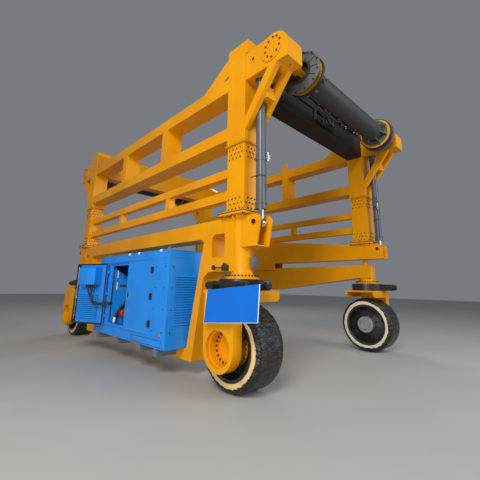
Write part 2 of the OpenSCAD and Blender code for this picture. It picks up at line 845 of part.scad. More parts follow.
module sign_plate() {
  low = slew_z - 45;
  high = worm_z + 10;
  painted(canopy_blue) mirror([0, 1, 0]) {
    translate([sign_x, sign_y, sign_z]) rotate([sign_lean, -sign_turn, 0]) cube([sign_l, sign_t, sign_h]);
    for (x = sign_hangers) wall(x - 15, x + 15) polygon([
      [worm_y + worm_r + seat, high], [fork_out + 20, high], [sign_at(low) + sign_t / 2, low],
      [fork_out + free, low], [fork_out + free, slew_z + 15], [worm_y + worm_r + seat, slew_z + 15]
    ]);
  }
}

// Generator: skid, canopy, engine and the panel behind the open door
door_gap = free;
door_z0 = canopy_z + 30;
door_z1 = gen_top_z - 150;
mullion = 30;
door_front_x = door_x + door_w + mullion;
front_hinge_x = door_front_x + door_front_w;
jamb = [100, 60, 30];
jamb_t = 25;

hinge_z = [820, 1300, 1780];
hinge_h = 60;
hinge_pin_r = 8;
hinge_play = 0.09;
knuckle_r = 14;
leaf_t = 6;
leaf_l = 60;

// Fixed half of a hinge: leaf, two knuckles and the pin, with the leaf towards -X
module hinge_fixed() {
  for (z = hinge_z) translate([0, -hinge_y, z]) {
    block([-leaf_l, hinge_off - leaf_t, -hinge_h], [-knuckle_r - 1, hinge_off + 1, hinge_h]);
    for (s = [-1, 1]) translate([0, 0, s * (hinge_h * 3 / 4 + seat / 2)]) {
      cylinder(h = hinge_h / 2 - seat, r = knuckle_r, center = true);
      translate([-15, 8, 0]) cube([30, 10, hinge_h / 2 - seat], center = true);
    }
    cylinder(h = 2 * hinge_h - 4, r = hinge_pin_r, center = true);
  }
}

// Moving half: leaf and middle knuckle, with the leaf towards +X
module hinge_moving() {
  for (z = hinge_z) translate([0, -hinge_y, z]) difference() {
    union() {
      cylinder(h = hinge_h, r = knuckle_r, center = true);
      translate([15, 8, 0]) cube([30, 10, hinge_h], center = true);
      block([door_gap + 1, hinge_off - leaf_t, -hinge_h / 2], [leaf_l, hinge_off + 1, hinge_h / 2]);
    }
    cylinder(h = hinge_h + 2, r = hinge_pin_r + hinge_play, center = true);
  }
}

bearer_x = [-700, 300, 1300, 1900];
bearer = [120, 137];

module generator_skid() {
  painted(canopy_blue) mirror([0, 1, 0]) {
    block([gen_x0, gen_in, skid_z], [gen_x1, gen_y, canopy_z]);
    for (x = bearer_x, y = [[frame_out + 10, gen_y - 20], [gen_in + 20, frame_in - 10]])
      block([x, y[0], skid_z - bearer[1]], [x + bearer[0], y[1], skid_z + 1]);
  }
}

// Doorway through the canopy's wall, with a narrower opening inside it that the jambs leave
module doorway(x, w, jamb_low, jamb_high) {
  block([x, gen_y - panel_t - seat, door_z0], [x + w, gen_y + 1, door_z1]);
  block([x + jamb_low, gen_y - panel_t - jamb_t - 1, door_z0 + jamb[1]],
    [x + w - jamb_high, gen_y, door_z1 - jamb[1]]);
}

louvres = 20;
louvre_h = 18;
louvre_z = 843;
seam_h = 160;
seam = [6, 3];

module generator_canopy() {
  painted(canopy_blue) {
    mirror([0, 1, 0]) difference() {
      union() {
        difference() {
          block([gen_x0, gen_in, canopy_z], [gen_x1, gen_y, gen_top_z]);
          block([gen_x0 + panel_t, gen_in + panel_t, canopy_z - 1], [gen_x1 - panel_t, gen_y - panel_t, gen_top_z - panel_t]);
        }
        for (d = [[door_x, door_w], [door_front_x, door_front_w]])
          block([d[0] - 20, gen_y - panel_t - jamb_t, door_z0 - 20], [d[0] + d[1] + 20, gen_y - panel_t + 1, door_z1 + 20]);
        block([front_hinge_x + leaf_l + 10, gen_y - 1, door_z0], [gen_x1 - 60, gen_y + seam[1], door_z1]);
        block([gen_x1 - 1, gen_in + 60, door_z0], [gen_x1 + seam[1], gen_y - 60, door_z1]);
      }
      doorway(door_x, door_w, jamb[0], jamb[2]);
      doorway(door_front_x, door_front_w, jamb[2], jamb[0]);
      for (i = [0:louvres - 1])
        block([gen_x1 - panel_t - 1, gen_in + 130, louvre_z + i * louvre_pitch],
          [gen_x1 + seam[1] + 1, gen_y - 140, louvre_z + i * louvre_pitch + louvre_h]);
      difference() {
        z = gen_top_z - seam_h + 20;
        block([gen_x0 - 1, gen_in - 1, z], [gen_x1 + 5, gen_y + 5, z + seam[0]]);
        block([gen_x0 + seam[1], gen_in + seam[1], z - 1], [gen_x1 - seam[1], gen_y - seam[1], z + seam[0] + 1]);
      }
    }
    translate([door_x, 0, 0]) hinge_fixed();
    translate([front_hinge_x, 0, 0]) mirror([1, 0, 0]) hinge_fixed();
  }
}

engine_gap = 100;
engine_low = [-100, gen_in + engine_gap];
engine_size = [1900, 550, 1159];
panel_x = [350, 720];
panel_back = 340;
panel_y = gen_y - panel_back;

module generator_engine() {
  painted(dark) mirror([0, 1, 0]) translate([engine_low[0], engine_low[1], canopy_z]) cube(engine_size);
}

module generator_panel() {
  painted(canopy_blue) mirror([0, 1, 0]) block([panel_x[0], panel_y, canopy_z], [panel_x[1], panel_y + 20, gen_top_z - 174]);
}

door_louvres = 13;
door_louvre_z = 750;
pan = [70, 140, 60];
pan_t = 4;

// Door with its hinge at x = 0 and its inner face at y = 0
module door_leaf(w) {
  z0 = door_z0 + door_gap;
  z1 = door_z1 - door_gap;
  difference() {
    block([door_gap, -panel_t, z0], [w - door_gap, 0, z1]);
    difference() {
      block([door_gap - 1, -pan_t, z0 - 1], [w, 1, z1 + 1]);
      block([pan[0], -pan_t - 1, z0 + pan[2]], [w - pan[1], 2, z1 - pan[2]]);
    }
  }
}

module door_front() {
  painted(canopy_blue) translate([front_hinge_x, 0, 0]) mirror([1, 0, 0]) {
    translate([0, panel_t - gen_y, 0]) door_leaf(door_front_w);
    hinge_moving();
  }
}

// The rear door and its control box stand open, turned about the hinge
module swung() {
  translate([door_x, -hinge_y, 0]) rotate([0, 0, -door_open]) translate([0, hinge_y, 0]) children();
}

module door_rear() {
  painted(canopy_blue) swung() {
    difference() {
      translate([0, panel_t - gen_y, 0]) door_leaf(door_w);
      for (i = [0:door_louvres - 1]) translate([box_x[0] + 40, panel_t - gen_y - 10, door_louvre_z + i * louvre_pitch])
        cube([door_w - pan[1] - box_x[0] - 80, 11, louvre_h]);
    }
    hinge_moving();
  }
}

box_z = [1490, 1865];

module control_box() {
  painted(canopy_blue) swung() translate([0, panel_t - gen_y, 0])
    block([box_x[0], seat, box_z[0]], [box_x[1], box_t, box_z[1]]);
}

side_frame_right();
beam_left();
rocker_left();
legs_right();
leg_heads_left();
sleeves_right();
sleeves_left();
wear_pads();
mid_rails();
lift_rods();
generator_skid();
generator_canopy();
generator_engine();
generator_panel();
masts_right();
masts_left();
upper_frame_right();
upper_frame_left();
cross_beam_front();
cross_beam_rear();
hoist_arms_front();
hoist_arms_rear();
lift_barrels();
drum(front);  // drum_front
drum(rear);  // drum_rear
yoke(front, right);  // yoke_front_right
yoke(front, left);  // yoke_front_left
yoke(rear, right);  // yoke_rear_right
yoke(rear, left);  // yoke_rear_left
slew(front, right);  // slew_front_right
slew(front, left);  // slew_front_left
slew(rear, right);  // slew_rear_right
slew(rear, left);  // slew_rear_left
rim(front, right);  // rim_front_right
rim(front, left);  // rim_front_left
rim(rear, right);  // rim_rear_right
rim(rear, left);  // rim_rear_left
tyre(front, right);  // tyre_front_right
tyre(front, left);  // tyre_front_left
tyre(rear, right);  // tyre_rear_right
tyre(rear, left);  // tyre_rear_left
sign_plate();
door_rear();
door_front();
control_box();
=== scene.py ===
"""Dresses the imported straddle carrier: paint, shipping film, bolts, louvres, hoses and the sign's edge.

Machine coordinates are in metres, with Y measured from the middle between the two side frames. What
repeats at the corners is modelled at the front left one, and place() mirrors it and moves it to the
frame's own Y.
"""

import json
import math

import bpy
from bpy.props import FloatProperty, FloatVectorProperty, IntProperty, PointerProperty
from mathutils import Matrix, Vector, noise


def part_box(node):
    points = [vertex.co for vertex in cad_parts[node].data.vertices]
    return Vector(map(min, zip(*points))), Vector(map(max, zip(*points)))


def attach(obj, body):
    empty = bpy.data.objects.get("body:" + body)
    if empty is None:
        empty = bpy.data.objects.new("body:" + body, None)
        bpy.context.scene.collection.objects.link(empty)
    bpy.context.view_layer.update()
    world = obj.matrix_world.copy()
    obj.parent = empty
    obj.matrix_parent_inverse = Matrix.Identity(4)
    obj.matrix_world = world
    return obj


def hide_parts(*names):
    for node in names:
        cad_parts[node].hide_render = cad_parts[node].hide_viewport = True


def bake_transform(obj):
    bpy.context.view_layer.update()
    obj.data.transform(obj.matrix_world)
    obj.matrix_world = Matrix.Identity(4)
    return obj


bl_info = {
    "name": "Straddle carrier dressing",
    "version": (1, 0, 0),
    "blender": (4, 5, 0),
    "location": "View3D > Sidebar > Carrier",
    "description": "Paint, film, fasteners and fittings on a packed straddle carrier",
    "category": "Object",
}

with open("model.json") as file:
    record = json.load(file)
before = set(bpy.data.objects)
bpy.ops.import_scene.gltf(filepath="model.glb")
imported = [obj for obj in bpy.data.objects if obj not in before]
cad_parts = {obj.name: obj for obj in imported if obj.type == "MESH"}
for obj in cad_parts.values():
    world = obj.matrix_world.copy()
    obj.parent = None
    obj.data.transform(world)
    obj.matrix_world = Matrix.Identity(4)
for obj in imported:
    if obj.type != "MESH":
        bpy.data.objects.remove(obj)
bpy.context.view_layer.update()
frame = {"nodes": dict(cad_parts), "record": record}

ENDS = {"front": 1, "rear": -1}
SIDES = {"left": 1, "right": -1}
CORNERS = [(end, side) for end in ENDS for side in SIDES]

# Places that the part's source gives
DRUM_LOW, DRUM_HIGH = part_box("drum_front")
MID_Y = (DRUM_LOW.y + DRUM_HIGH.y) / 2
LEG_X, LEG_Y = 3.48, 2.29
FRAME_OUT = 2.48
DRUM_X, DRUM_Z = 4.31, 5.27
WHEEL_Y, WHEEL_Z = 2.29, 0.63
TYRE_SIDE = 0.275
RECESS_Y, MOTOR_Y = 2.59, 2.42
HUB_FACE, HUB_FLOOR = -0.300, -0.275
CYLINDER_X = 3.88
BEAM_FACE = LEG_X + 0.200
GEN_Y, GEN_X0, GEN_X1, GEN_TOP = 2.90, -0.865, 2.284, 2.124
SKID_Z = 0.445
GEN_FACE, DOOR_INNER = -GEN_Y, -GEN_Y + 0.040
DOOR_X, DOOR_W, HINGE_Y, DOOR_OPEN = -0.26, 0.95, 2.918, math.radians(157)
FRONT_DOOR_X, FRONT_HINGE_X = 0.72, 1.70
DOOR_X1 = DOOR_X + DOOR_W
DOOR_Z0, DOOR_Z1 = 0.621, 1.974
JAMB_HINGE, JAMB_LATCH, JAMB_END = 0.100, 0.030, 0.060
SLEEVE_Z = (2.675, 3.895)
LOUVRE_PITCH = 0.043
SIGN_AT, SIGN_SIZE = (3.290, -2.889, 0.975), (1.086, 0.480)
SIGN_LEAN, SIGN_TURN = math.radians(10), math.radians(5)

CAMERA_AT = Vector((7.08, -5.87 + MID_Y, 1.515))
CAMERA_HEADING, CAMERA_PITCH, CAMERA_ROLL = 45.90626, 13.00018, 0.88702

ALONG, ACROSS, UP = Vector((1, 0, 0)), Vector((0, 1, 0)), Vector((0, 0, 1))


# Shaping


def settle():
    """Leave edit mode and deselect everything, before a new primitive is added."""
    if bpy.context.object and bpy.context.object.mode != "OBJECT":
        bpy.ops.object.mode_set(mode="OBJECT")
    bpy.ops.object.select_all(action="DESELECT")


def hold(piece):
    """Select one piece alone and make it the active one."""
    settle()
    piece.select_set(True)
    bpy.context.view_layer.objects.active = piece


def apply_place():
    """Put the active piece's place, turn and scale into its mesh."""
    bpy.ops.object.transform_apply(location=True, rotation=True, scale=True)
    return bpy.context.object


def soften(piece, width, segments=2, angle=35):
    """Round the sharp edges of a piece and shade it smooth by angle."""
    hold(piece)
    if width:
        bevel = piece.modifiers.new("edge", "BEVEL")
        bevel.width = width
        bevel.segments = segments
        bevel.limit_method = "ANGLE"
        bevel.angle_limit = math.radians(angle)
        bpy.ops.object.modifier_apply(modifier=bevel.name)
    bpy.ops.object.shade_smooth_by_angle(angle=math.radians(angle))
    return piece


def block(low, high, edge=0.0, segments=2):
    """Box between two corners with rounded edges."""
    settle()
    low, high = Vector(low), Vector(high)
    bpy.ops.mesh.primitive_cube_add(size=1, location=(low + high) / 2)
    bpy.context.object.scale = high - low
    return soften(apply_place(), edge, segments)


def rod(start, end, radius, edge=0.0, vertices=24):
    """Round bar between two points, or a prism of few sides."""
    settle()
    start, end = Vector(start), Vector(end)
    along = end - start
    bpy.ops.mesh.primitive_cone_add(
        vertices=vertices, radius1=radius, radius2=radius, depth=along.length,
        location=(start + end) / 2, rotation=along.to_track_quat("Z", "Y").to_euler())
    return soften(apply_place(), edge)


def border(x0, x1, z0, z1, width, thick, out):
    """Four flat bars along the sides of an upright rectangle at y = 0, thick towards out."""
    half = width / 2
    near, far = min(0, out * thick), max(0, out * thick)
    return joined([
        block((low_x - half, near, low_z - half), (high_x + half, far, high_z + half), thick * 0.3, 1)
        for low_x, high_x, low_z, high_z in (
            (x0, x1, z0, z0), (x1, x1, z0, z1), (x0, x1, z1, z1), (x0, x0, z0, z1))])


def loop_bar(centre, rotation, major, minor, steps):
    """Round bar bent into a closed circle."""
    settle()
    bpy.ops.mesh.primitive_torus_add(
        location=centre, rotation=rotation, major_radius=major, minor_radius=minor, major_segments=steps,
        minor_segments=10)
    return soften(apply_place(), 0)


def mirrored(half):
    """Whole profile of (radius, place along Y) pairs from its half with Y above 0."""
    return [(radius, -y) for radius, y in reversed(half) if y] + half


def lathe(points, steps=96, closed=True, smooth=40):
    """Profile of (radius, place along Y) pairs, spun round the Y axis."""
    settle()
    bpy.ops.mesh.primitive_circle_add(vertices=len(points), fill_type="NOTHING")
    piece = bpy.context.object
    for vertex, (radius, y) in zip(piece.data.vertices, points):
        vertex.co = (radius, y, 0)
    bpy.ops.object.mode_set(mode="EDIT")
    if not closed:
        bpy.ops.mesh.select_all(action="DESELECT")
        bpy.ops.object.mode_set(mode="OBJECT")
        last = len(points) - 1
        for edge in piece.data.edges:
            edge.select = set(edge.vertices) == {0, last}
        bpy.ops.object.mode_set(mode="EDIT")
        bpy.ops.mesh.select_mode(type="EDGE")
        bpy.ops.mesh.delete(type="EDGE")
        bpy.ops.mesh.select_mode(type="VERT")
    bpy.ops.mesh.select_all(action="SELECT")
    bpy.ops.mesh.spin(steps=steps, angle=2 * math.pi, center=(0, 0, 0), axis=(0, 1, 0))
    bpy.ops.mesh.select_all(action="SELECT")
    bpy.ops.mesh.remove_doubles(threshold=1e-5)
    bpy.ops.mesh.normals_make_consistent(inside=False)
    bpy.ops.object.mode_set(mode="OBJECT")
    return soften(piece, 0, angle=smooth)


def move(piece, offset):
    """Move a piece's mesh."""
    piece.data.transform(Matrix.Translation(offset))
    return piece


def turn(piece, angle, axis, about=(0, 0, 0)):
    """Turn a piece's mesh about an axis through a point."""
    about = Vector(about)
    piece.data.transform(
        Matrix.Translation(about) @ Matrix.Rotation(angle, 4, axis) @ Matrix.Translation(-about))
    return piece


def mirror(piece, x, y):
    """Mirror a piece's mesh in X, in Y or in both, where the factor is -1."""
    piece.data.transform(Matrix.Diagonal((x, y, 1, 1)))
    if x * y < 0:
        piece.data.flip_normals()
    return piece


def copy_of(piece):
    """Copy of a piece with its own mesh."""
    twin = piece.copy()
    twin.data = piece.data.copy()
    bpy.context.scene.collection.objects.link(twin)
    return twin


def joined(pieces):
    """Join pieces into the first one."""
    settle()
    for piece in pieces:
        piece.select_set(True)
    bpy.context.view_layer.objects.active = pieces[0]
    if len(pieces) > 1:
        bpy.ops.object.join()
    return bpy.context.object


def spread(template, places):
    """Copy a small piece to each (point, direction) with its +Z along the direction, and join all."""
    copies = []
    for at, out in places:
        twin = copy_of(template)
        twin.data.transform(
            Matrix.Translation(at) @ Vector(out).to_track_quat("Z", "Y").to_matrix().to_4x4())
        copies.append(twin)
    bpy.data.objects.remove(template)
    return joined(copies)


def ring(centre, axis, radius, count, start=0.0):
    """Points round an axis, evenly spaced."""
    first = UP if abs(axis.z) < 0.5 else axis.orthogonal().normalized()
    step = 2 * math.pi / count
    return [
        Vector(centre) + Matrix.Rotation(start + i * step, 3, axis) @ first * radius for i in range(count)
    ]


def bolt_ring(bolt, centre, axis, radius, count, out=None):
    """Bolts evenly round an axis, standing along it or along out."""
    return spread(bolt, [(point, out or axis) for point in ring(centre, axis, radius, count)])


def place(piece, name, body, finish, end=1, side=1):
    """Finish a piece: mirror it to its corner, move it to the frame's Y, paint it and let it ride on
    a body, or on none yet where body is None."""
    mirror(piece, end, side)
    move(piece, (0, MID_Y, 0))
    piece.name = name
    piece.data.name = name
    piece.data.materials.clear()
    piece.data.materials.append(FINISHES[finish])
    if body:
        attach(piece, body)
    return piece


def at_corners(template, what, body, finish):
    """Copy a piece modelled at the front left corner to all four. It rides on the body named, which for
    steer is each corner's own."""
    for end, side in CORNERS:
        corner = f"{end}_{side}"
        carrier = f"steer_{corner}" if body == "steer" else body
        place(copy_of(template), f"{what}_{corner}", carrier, finish, ENDS[end], SIDES[side])
    bpy.data.objects.remove(template)


def tube(points, radius, name, resolution=6):
    """Hose or cable through points, as a smooth curve."""
    settle()
    data = bpy.data.curves.new(name, "CURVE")
    data.dimensions = "3D"
    data.bevel_depth = radius
    data.bevel_resolution = 3
    data.resolution_u = resolution
    data.use_fill_caps = True
    spline = data.splines.new("BEZIER")
    spline.bezier_points.add(len(points) - 1)
    for knot, point in zip(spline.bezier_points, points):
        knot.co = point
        knot.handle_left_type = knot.handle_right_type = "AUTO"
    piece = bpy.data.objects.new(name, data)
    bpy.context.scene.collection.objects.link(piece)
    return piece


def as_mesh(piece):
    """Turn a curve into a mesh."""
    hold(piece)
    bpy.ops.object.convert(target="MESH")
    return soften(bpy.context.object, 0, angle=60)


def hex_bolt(width, height):
    """Hexagon bolt head on a washer, standing on Z = 0."""
    head = rod((0, 0, 0.002), (0, 0, height), width / 2, 0.12 * width, 6)
    washer = rod((0, 0, 0), (0, 0, 0.003), width * 0.62, 0, 14)
    return joined([head, washer])


def socket_screw(width, height):
    """Round screw head with a dark socket, standing on Z = 0."""
    settle()
    bpy.ops.mesh.primitive_cylinder_add(
        vertices=12, radius=width / 2, depth=height, location=(0, 0, height / 2))
    piece = apply_place()
    bpy.ops.object.mode_set(mode="EDIT")
    bpy.ops.mesh.select_all(action="DESELECT")
    bpy.ops.object.mode_set(mode="OBJECT")
    for face in piece.data.polygons:
        face.select = face.normal.z > 0.9
    bpy.ops.object.mode_set(mode="EDIT")
    bpy.ops.mesh.select_mode(type="FACE")
    bpy.ops.mesh.inset(thickness=width * 0.24)
    bpy.ops.mesh.extrude_region_move(TRANSFORM_OT_translate={"value": (0, 0, -height * 0.6)})
    bpy.ops.object.mode_set(mode="OBJECT")
    return soften(piece, 0)


# Settings


def tint(name, text, value):
    """Colour that a user would change."""
    return FloatVectorProperty(
        name=name, description=text, default=value, subtype="COLOR", size=3, min=0, max=1)


def length(name, text, value):
    """Length that a user would change."""
    return FloatProperty(name=name, description=text, default=value, unit="LENGTH")


def amount(name, text, value):
    """Power or strength that a user would change."""
    return FloatProperty(name=name, description=text, default=value, min=0)


class PaintSettings(bpy.types.PropertyGroup):
    """Colours of the finishes."""

    gantry_yellow: tint("Gantry yellow", "Gloss paint on the frames", (0.80, 0.345, 0.0003))
    gantry_orange: tint("Deeper yellow", "Where the gloss paint is thicker", (0.70, 0.265, 0.0003))
    canopy_blue: tint("Canopy blue", "Satin paint on the generator's canopy", (0.010, 0.265, 0.86))
    beam_dark: tint("Front beam", "Dark paint on the front cross beam", (0.013, 0.0115, 0.0105))
    cylinder_grey: tint("Cylinder grey", "Paint on the lift cylinders", (0.075, 0.085, 0.105))
    drum_grey: tint("Drum grey", "Primer on the hoist drums", (0.030, 0.033, 0.034))
    slew_black: tint("Slewing black", "Paint on the slewing drives", (0.012, 0.012, 0.013))
    hub_metal: tint("Hub metal", "Machined wheel hubs", (0.36, 0.38, 0.39))
    film_black: tint("Film black", "Shipping film on the tyres", (0.006, 0.006, 0.006))
    band_cream: tint("Band cream", "Paper band on the tyres' sidewalls", (0.74, 0.55, 0.26))
    band_pale: tint("Pale band", "Paper band on the left wheels", (0.80, 0.76, 0.52))
    sign_blue: tint("Sign blue", "Face of the blank sign", (0.0, 0.150, 0.66))
    floor: tint("Floor", "Studio floor", (0.46, 0.455, 0.44))


class WheelSettings(bpy.types.PropertyGroup):
    """Film and bands on the tyres, and the bolts in the fork arms."""

    film_radius: length("Film radius", "Outside of the film over the tread", 0.628)
    film_ripple: length("Film ripple", "Depth of the film's wrinkles", 0.009)
    film_edge: length("Film edge", "Radius of the film's torn inner edge", 0.548)
    film_tear: length("Film tear", "Depth of the tears in that edge", 0.012)
    arm_bolts: IntProperty(
        name="Arm bolts", description="Screws in each fork arm's recess", default=20, min=4)


class FastenerSettings(bpy.types.PropertyGroup):
    """Sizes of bolts and screws."""

    pad_bolt: length("Pad bolt", "Head of a wear pad's bolt", 0.029)
    flange_bolt: length("Flange bolt", "Head of a flange's bolt", 0.030)
    panel_screw: length("Panel screw", "Head of a canopy's screw", 0.020)


class StageSettings(bpy.types.PropertyGroup):
    """Camera and light."""

    lens: FloatProperty(name="Lens", description="Focal length in millimetres", default=23.32, min=1)
    key_power: amount("Key power", "Power of the main light", 1600)
    fill_power: amount("Fill power", "Power of the fill light", 560)
    sky: amount("Sky", "Strength of the surrounding light", 0.22)


def settings():
    """The scene's groups of settings."""
    scene = bpy.context.scene
    return scene.carrier_paint, scene.carrier_wheels, scene.carrier_fasteners, scene.carrier_stage


# Finishes


class Finish:
    """A material whose nodes are added one by one, on Object coordinates."""

    def __init__(self, name, roughness=0.5, metallic=0.0, coat=0.0, shine=0.5):
        self.material = bpy.data.materials.new(name)
        self.material.use_nodes = True
        self.tree = self.material.node_tree
        self.shader = self.tree.nodes["Principled BSDF"]
        self.shader.inputs["Roughness"].default_value = roughness
        self.shader.inputs["Metallic"].default_value = metallic
        self.shader.inputs["Coat Weight"].default_value = coat
        self.shader.inputs["Coat Roughness"].default_value = 0.12
        self.shader.inputs["Specular IOR Level"].default_value = shine
        self.place = self.add("ShaderNodeTexCoord").outputs["Object"]
        split = self.add("ShaderNodeSeparateXYZ", Vector=self.place)
        self.x, self.y, self.z = split.outputs

    def add(self, kind, **inputs):
        node = self.tree.nodes.new(kind)
        for name, value in inputs.items():
            self.feed(node.inputs[name.replace("_", " ")], value)
        return node

    def feed(self, socket, value):
        if isinstance(value, bpy.types.NodeSocket):
            self.tree.links.new(value, socket)
        else:
            socket.default_value = value

    def maths(self, operation, *values):
        node = self.add("ShaderNodeMath")
        node.operation = operation
        for socket, value in zip(node.inputs, values):
            self.feed(socket, value)
        return node.outputs[0]

    def times(self, first, second):
        return self.maths("MULTIPLY", first, second)

    def noise(self, scale, detail=3.0, stretch=(1, 1, 1), rough=0.55):
        mapping = self.add("ShaderNodeMapping", Vector=self.place, Scale=stretch)
        node = self.add(
            "ShaderNodeTexNoise", Vector=mapping.outputs[0], Scale=scale, Detail=detail, Roughness=rough)
        return node.outputs["Fac"]

    def steps(self, value, low, high):
        """0 below low and 1 above high."""
        node = self.add("ShaderNodeMapRange", Value=value)
        node.inputs["From Min"].default_value = low
        node.inputs["From Max"].default_value = high
        return node.outputs[0]

    def patches(self, low, high, *noise, **more):
        """Noise, cut to 0 below low and 1 above high."""
        return self.steps(self.noise(*noise, **more), low, high)

    def blend(self, factor, first, second):
        node = self.add("ShaderNodeMix")
        node.data_type = "RGBA"
        self.feed(node.inputs["Factor"], factor)
        for socket, value in ((node.inputs[6], first), (node.inputs[7], second)):
            self.feed(socket, value if isinstance(value, bpy.types.NodeSocket) else (*value, 1))
        return node.outputs[2]

    def colour(self, value):
        self.feed(self.shader.inputs["Base Color"],
                  value if isinstance(value, bpy.types.NodeSocket) else (*value, 1))

    def roughness(self, noise, spread_by, least):
        value = self.maths("MULTIPLY_ADD", noise, spread_by, least)
        self.feed(self.shader.inputs["Roughness"], value)

    def bump(self, height, distance, strength=1.0, rounded=0.0):
        node = self.add("ShaderNodeBump", Height=height, Distance=distance, Strength=strength)
        if rounded:
            edge = self.add("ShaderNodeBevel", Radius=rounded)
            edge.samples = 4
            self.feed(node.inputs["Normal"], edge.outputs[0])
        self.feed(self.shader.inputs["Normal"], node.outputs[0])


def shade(colour, factor):
    """A colour made darker or lighter."""
    return tuple(min(1, c * factor) for c in colour)


def gloss_paint(name, main, deep):
    """Sprayed gloss paint on welded plate: cloudy tone, runs, dust and orange peel."""
    dust, dust_colour = 0.10, (0.45, 0.38, 0.26)
    finish = Finish(name, coat=0.05, shine=0.20)
    cloud = finish.patches(0.35, 0.68, 0.9, 4, (1, 1, 0.7))
    runs = finish.patches(0.50, 0.75, 5, 3, (1, 1, 0.12))
    fleck = finish.patches(0.64, 0.78, 28, 5, rough=0.7)
    tone = finish.blend(cloud, main, deep)
    tone = finish.blend(finish.times(runs, dust), tone, shade(main, 0.62))
    tone = finish.blend(finish.times(fleck, dust * 1.4), tone, dust_colour)
    finish.colour(tone)
    finish.roughness(finish.noise(2.2, 4), 0.22, 0.25)
    finish.bump(finish.noise(160, 2), 0.0006, 0.35, 0.007)
    return finish.material


def panel_paint(name, main):
    """Satin paint on thin sheet, a little wavy."""
    finish = Finish(name, 0.42, coat=0.12)
    cloud = finish.patches(0.3, 0.7, 1.6, 4)
    fade = finish.patches(0.48, 0.8, 6, 4, (1, 1, 0.25))
    tone = finish.blend(cloud, main, shade(main, 0.86))
    tone = finish.blend(finish.times(fade, 0.14), tone, shade(main, 1.5))
    finish.colour(tone)
    finish.bump(finish.noise(3.0, 2), 0.004, 0.25, 0.004)
    return finish


def plain_paint(name, main, roughness, metallic=0.0, wear=0.25, rounded=0.004, shine=0.5):
    """Paint or primer with a cloudy tone and a fine grain."""
    finish = Finish(name, roughness, metallic, shine=shine)
    cloud = finish.patches(0.3, 0.75, 7, 5, (1, 1, 0.5))
    finish.colour(finish.blend(finish.times(cloud, wear), main, shade(main, 2.2)))
    finish.bump(finish.noise(90, 3), 0.0008, 0.4, rounded)
    return finish.material


def zones(finish, tests, rest):
    """Colour by place: each test is (0-or-1 socket, colour), the last one on top."""
    tone = rest
    for mask, colour in tests:
        tone = finish.blend(mask, tone, colour)
    finish.colour(tone)


def axis_distance(finish, x, z):
    """Distance from the two axes along Y at x = +-x and height z."""
    dx = finish.maths("SUBTRACT", finish.maths("ABSOLUTE", finish.x), x)
    dz = finish.maths("SUBTRACT", finish.z, z)
    return finish.maths("SQRT", finish.maths("ADD", finish.times(dx, dx), finish.times(dz, dz)))


def from_middle(finish):
    """Distance from the middle between the two side frames."""
    return finish.maths("ABSOLUTE", finish.maths("SUBTRACT", finish.y, MID_Y))


def drum_finish(paint):
    """Drums: grey tube, hub plates and flanges, yellow discs with black rims."""
    disc_near, disc_far, disc_r, rim_r = 1.4985, 1.5715, 0.2005, 0.3640
    plate_y, shell_r = 1.24, 0.225
    finish = Finish("drum_paint", 0.48, shine=0.3)
    radius, y = axis_distance(finish, DRUM_X, DRUM_Z), from_middle(finish)
    in_disc = finish.times(
        finish.steps(y, disc_near, disc_near + 0.0002), finish.steps(y, disc_far, disc_far - 0.0002))
    disc = finish.times(in_disc, finish.steps(radius, disc_r, disc_r + 0.0005))
    rim = finish.times(in_disc, finish.steps(radius, rim_r, rim_r + 0.0005))
    cloud = finish.patches(0.3, 0.75, 5, 4, (1, 0.4, 1))
    grey = finish.blend(finish.times(cloud, 0.5), paint.drum_grey, shade(paint.drum_grey, 1.7))
    outside = finish.steps(radius, shell_r, shell_r + 0.001)
    plate = finish.times(finish.steps(y, plate_y, plate_y + 0.01), outside)
    grey = finish.blend(plate, grey, shade(paint.drum_grey, 3.2))
    zones(finish, [(disc, tuple(paint.gantry_yellow)), (rim, tuple(paint.slew_black))], grey)
    finish.bump(finish.noise(60, 4), 0.0012, 0.4, 0.006)
    return finish.material


def wheel_finish(paint):
    """Rims: black paint, with a bare machined hub."""
    finish = Finish("rim_paint", 0.45)
    radius = axis_distance(finish, LEG_X, WHEEL_Z)
    hub = finish.steps(radius, 0.1925, 0.1920)
    inboard = finish.steps(from_middle(finish), WHEEL_Y - 0.13, WHEEL_Y - 0.14)
    mask = finish.times(hub, inboard)
    turned = finish.blend(finish.patches(0.35, 0.7, 14, 4), paint.hub_metal, shade(paint.hub_metal, 0.7))
    black = paint.slew_black
    dusty = finish.blend(finish.patches(0.4, 0.7, 6, 5), shade(black, 1.2), shade(black, 3.4))
    finish.colour(finish.blend(mask, dusty, turned))
    finish.feed(finish.shader.inputs["Metallic"], finish.times(mask, 0.35))
    finish.bump(finish.noise(70, 3), 0.0008, 0.4, 0.004)
    return finish.material


def sheet_finish(paint):
    """Generator: blue sheet, grey feet below it and black hinges on its side."""
    finish = panel_paint("canopy_sheet", paint.canopy_blue)
    blue = finish.shader.inputs["Base Color"].links[0].from_socket
    feet = finish.steps(finish.z, SKID_Z, SKID_Z - 0.001)
    outboard = finish.maths("SUBTRACT", MID_Y, finish.y)
    hinges = finish.steps(outboard, GEN_Y + 0.0036, GEN_Y + 0.0040)
    zones(finish, [(feet, (0.13, 0.16, 0.19)), (hinges, (0.012, 0.012, 0.013))], blue)
    return finish.material


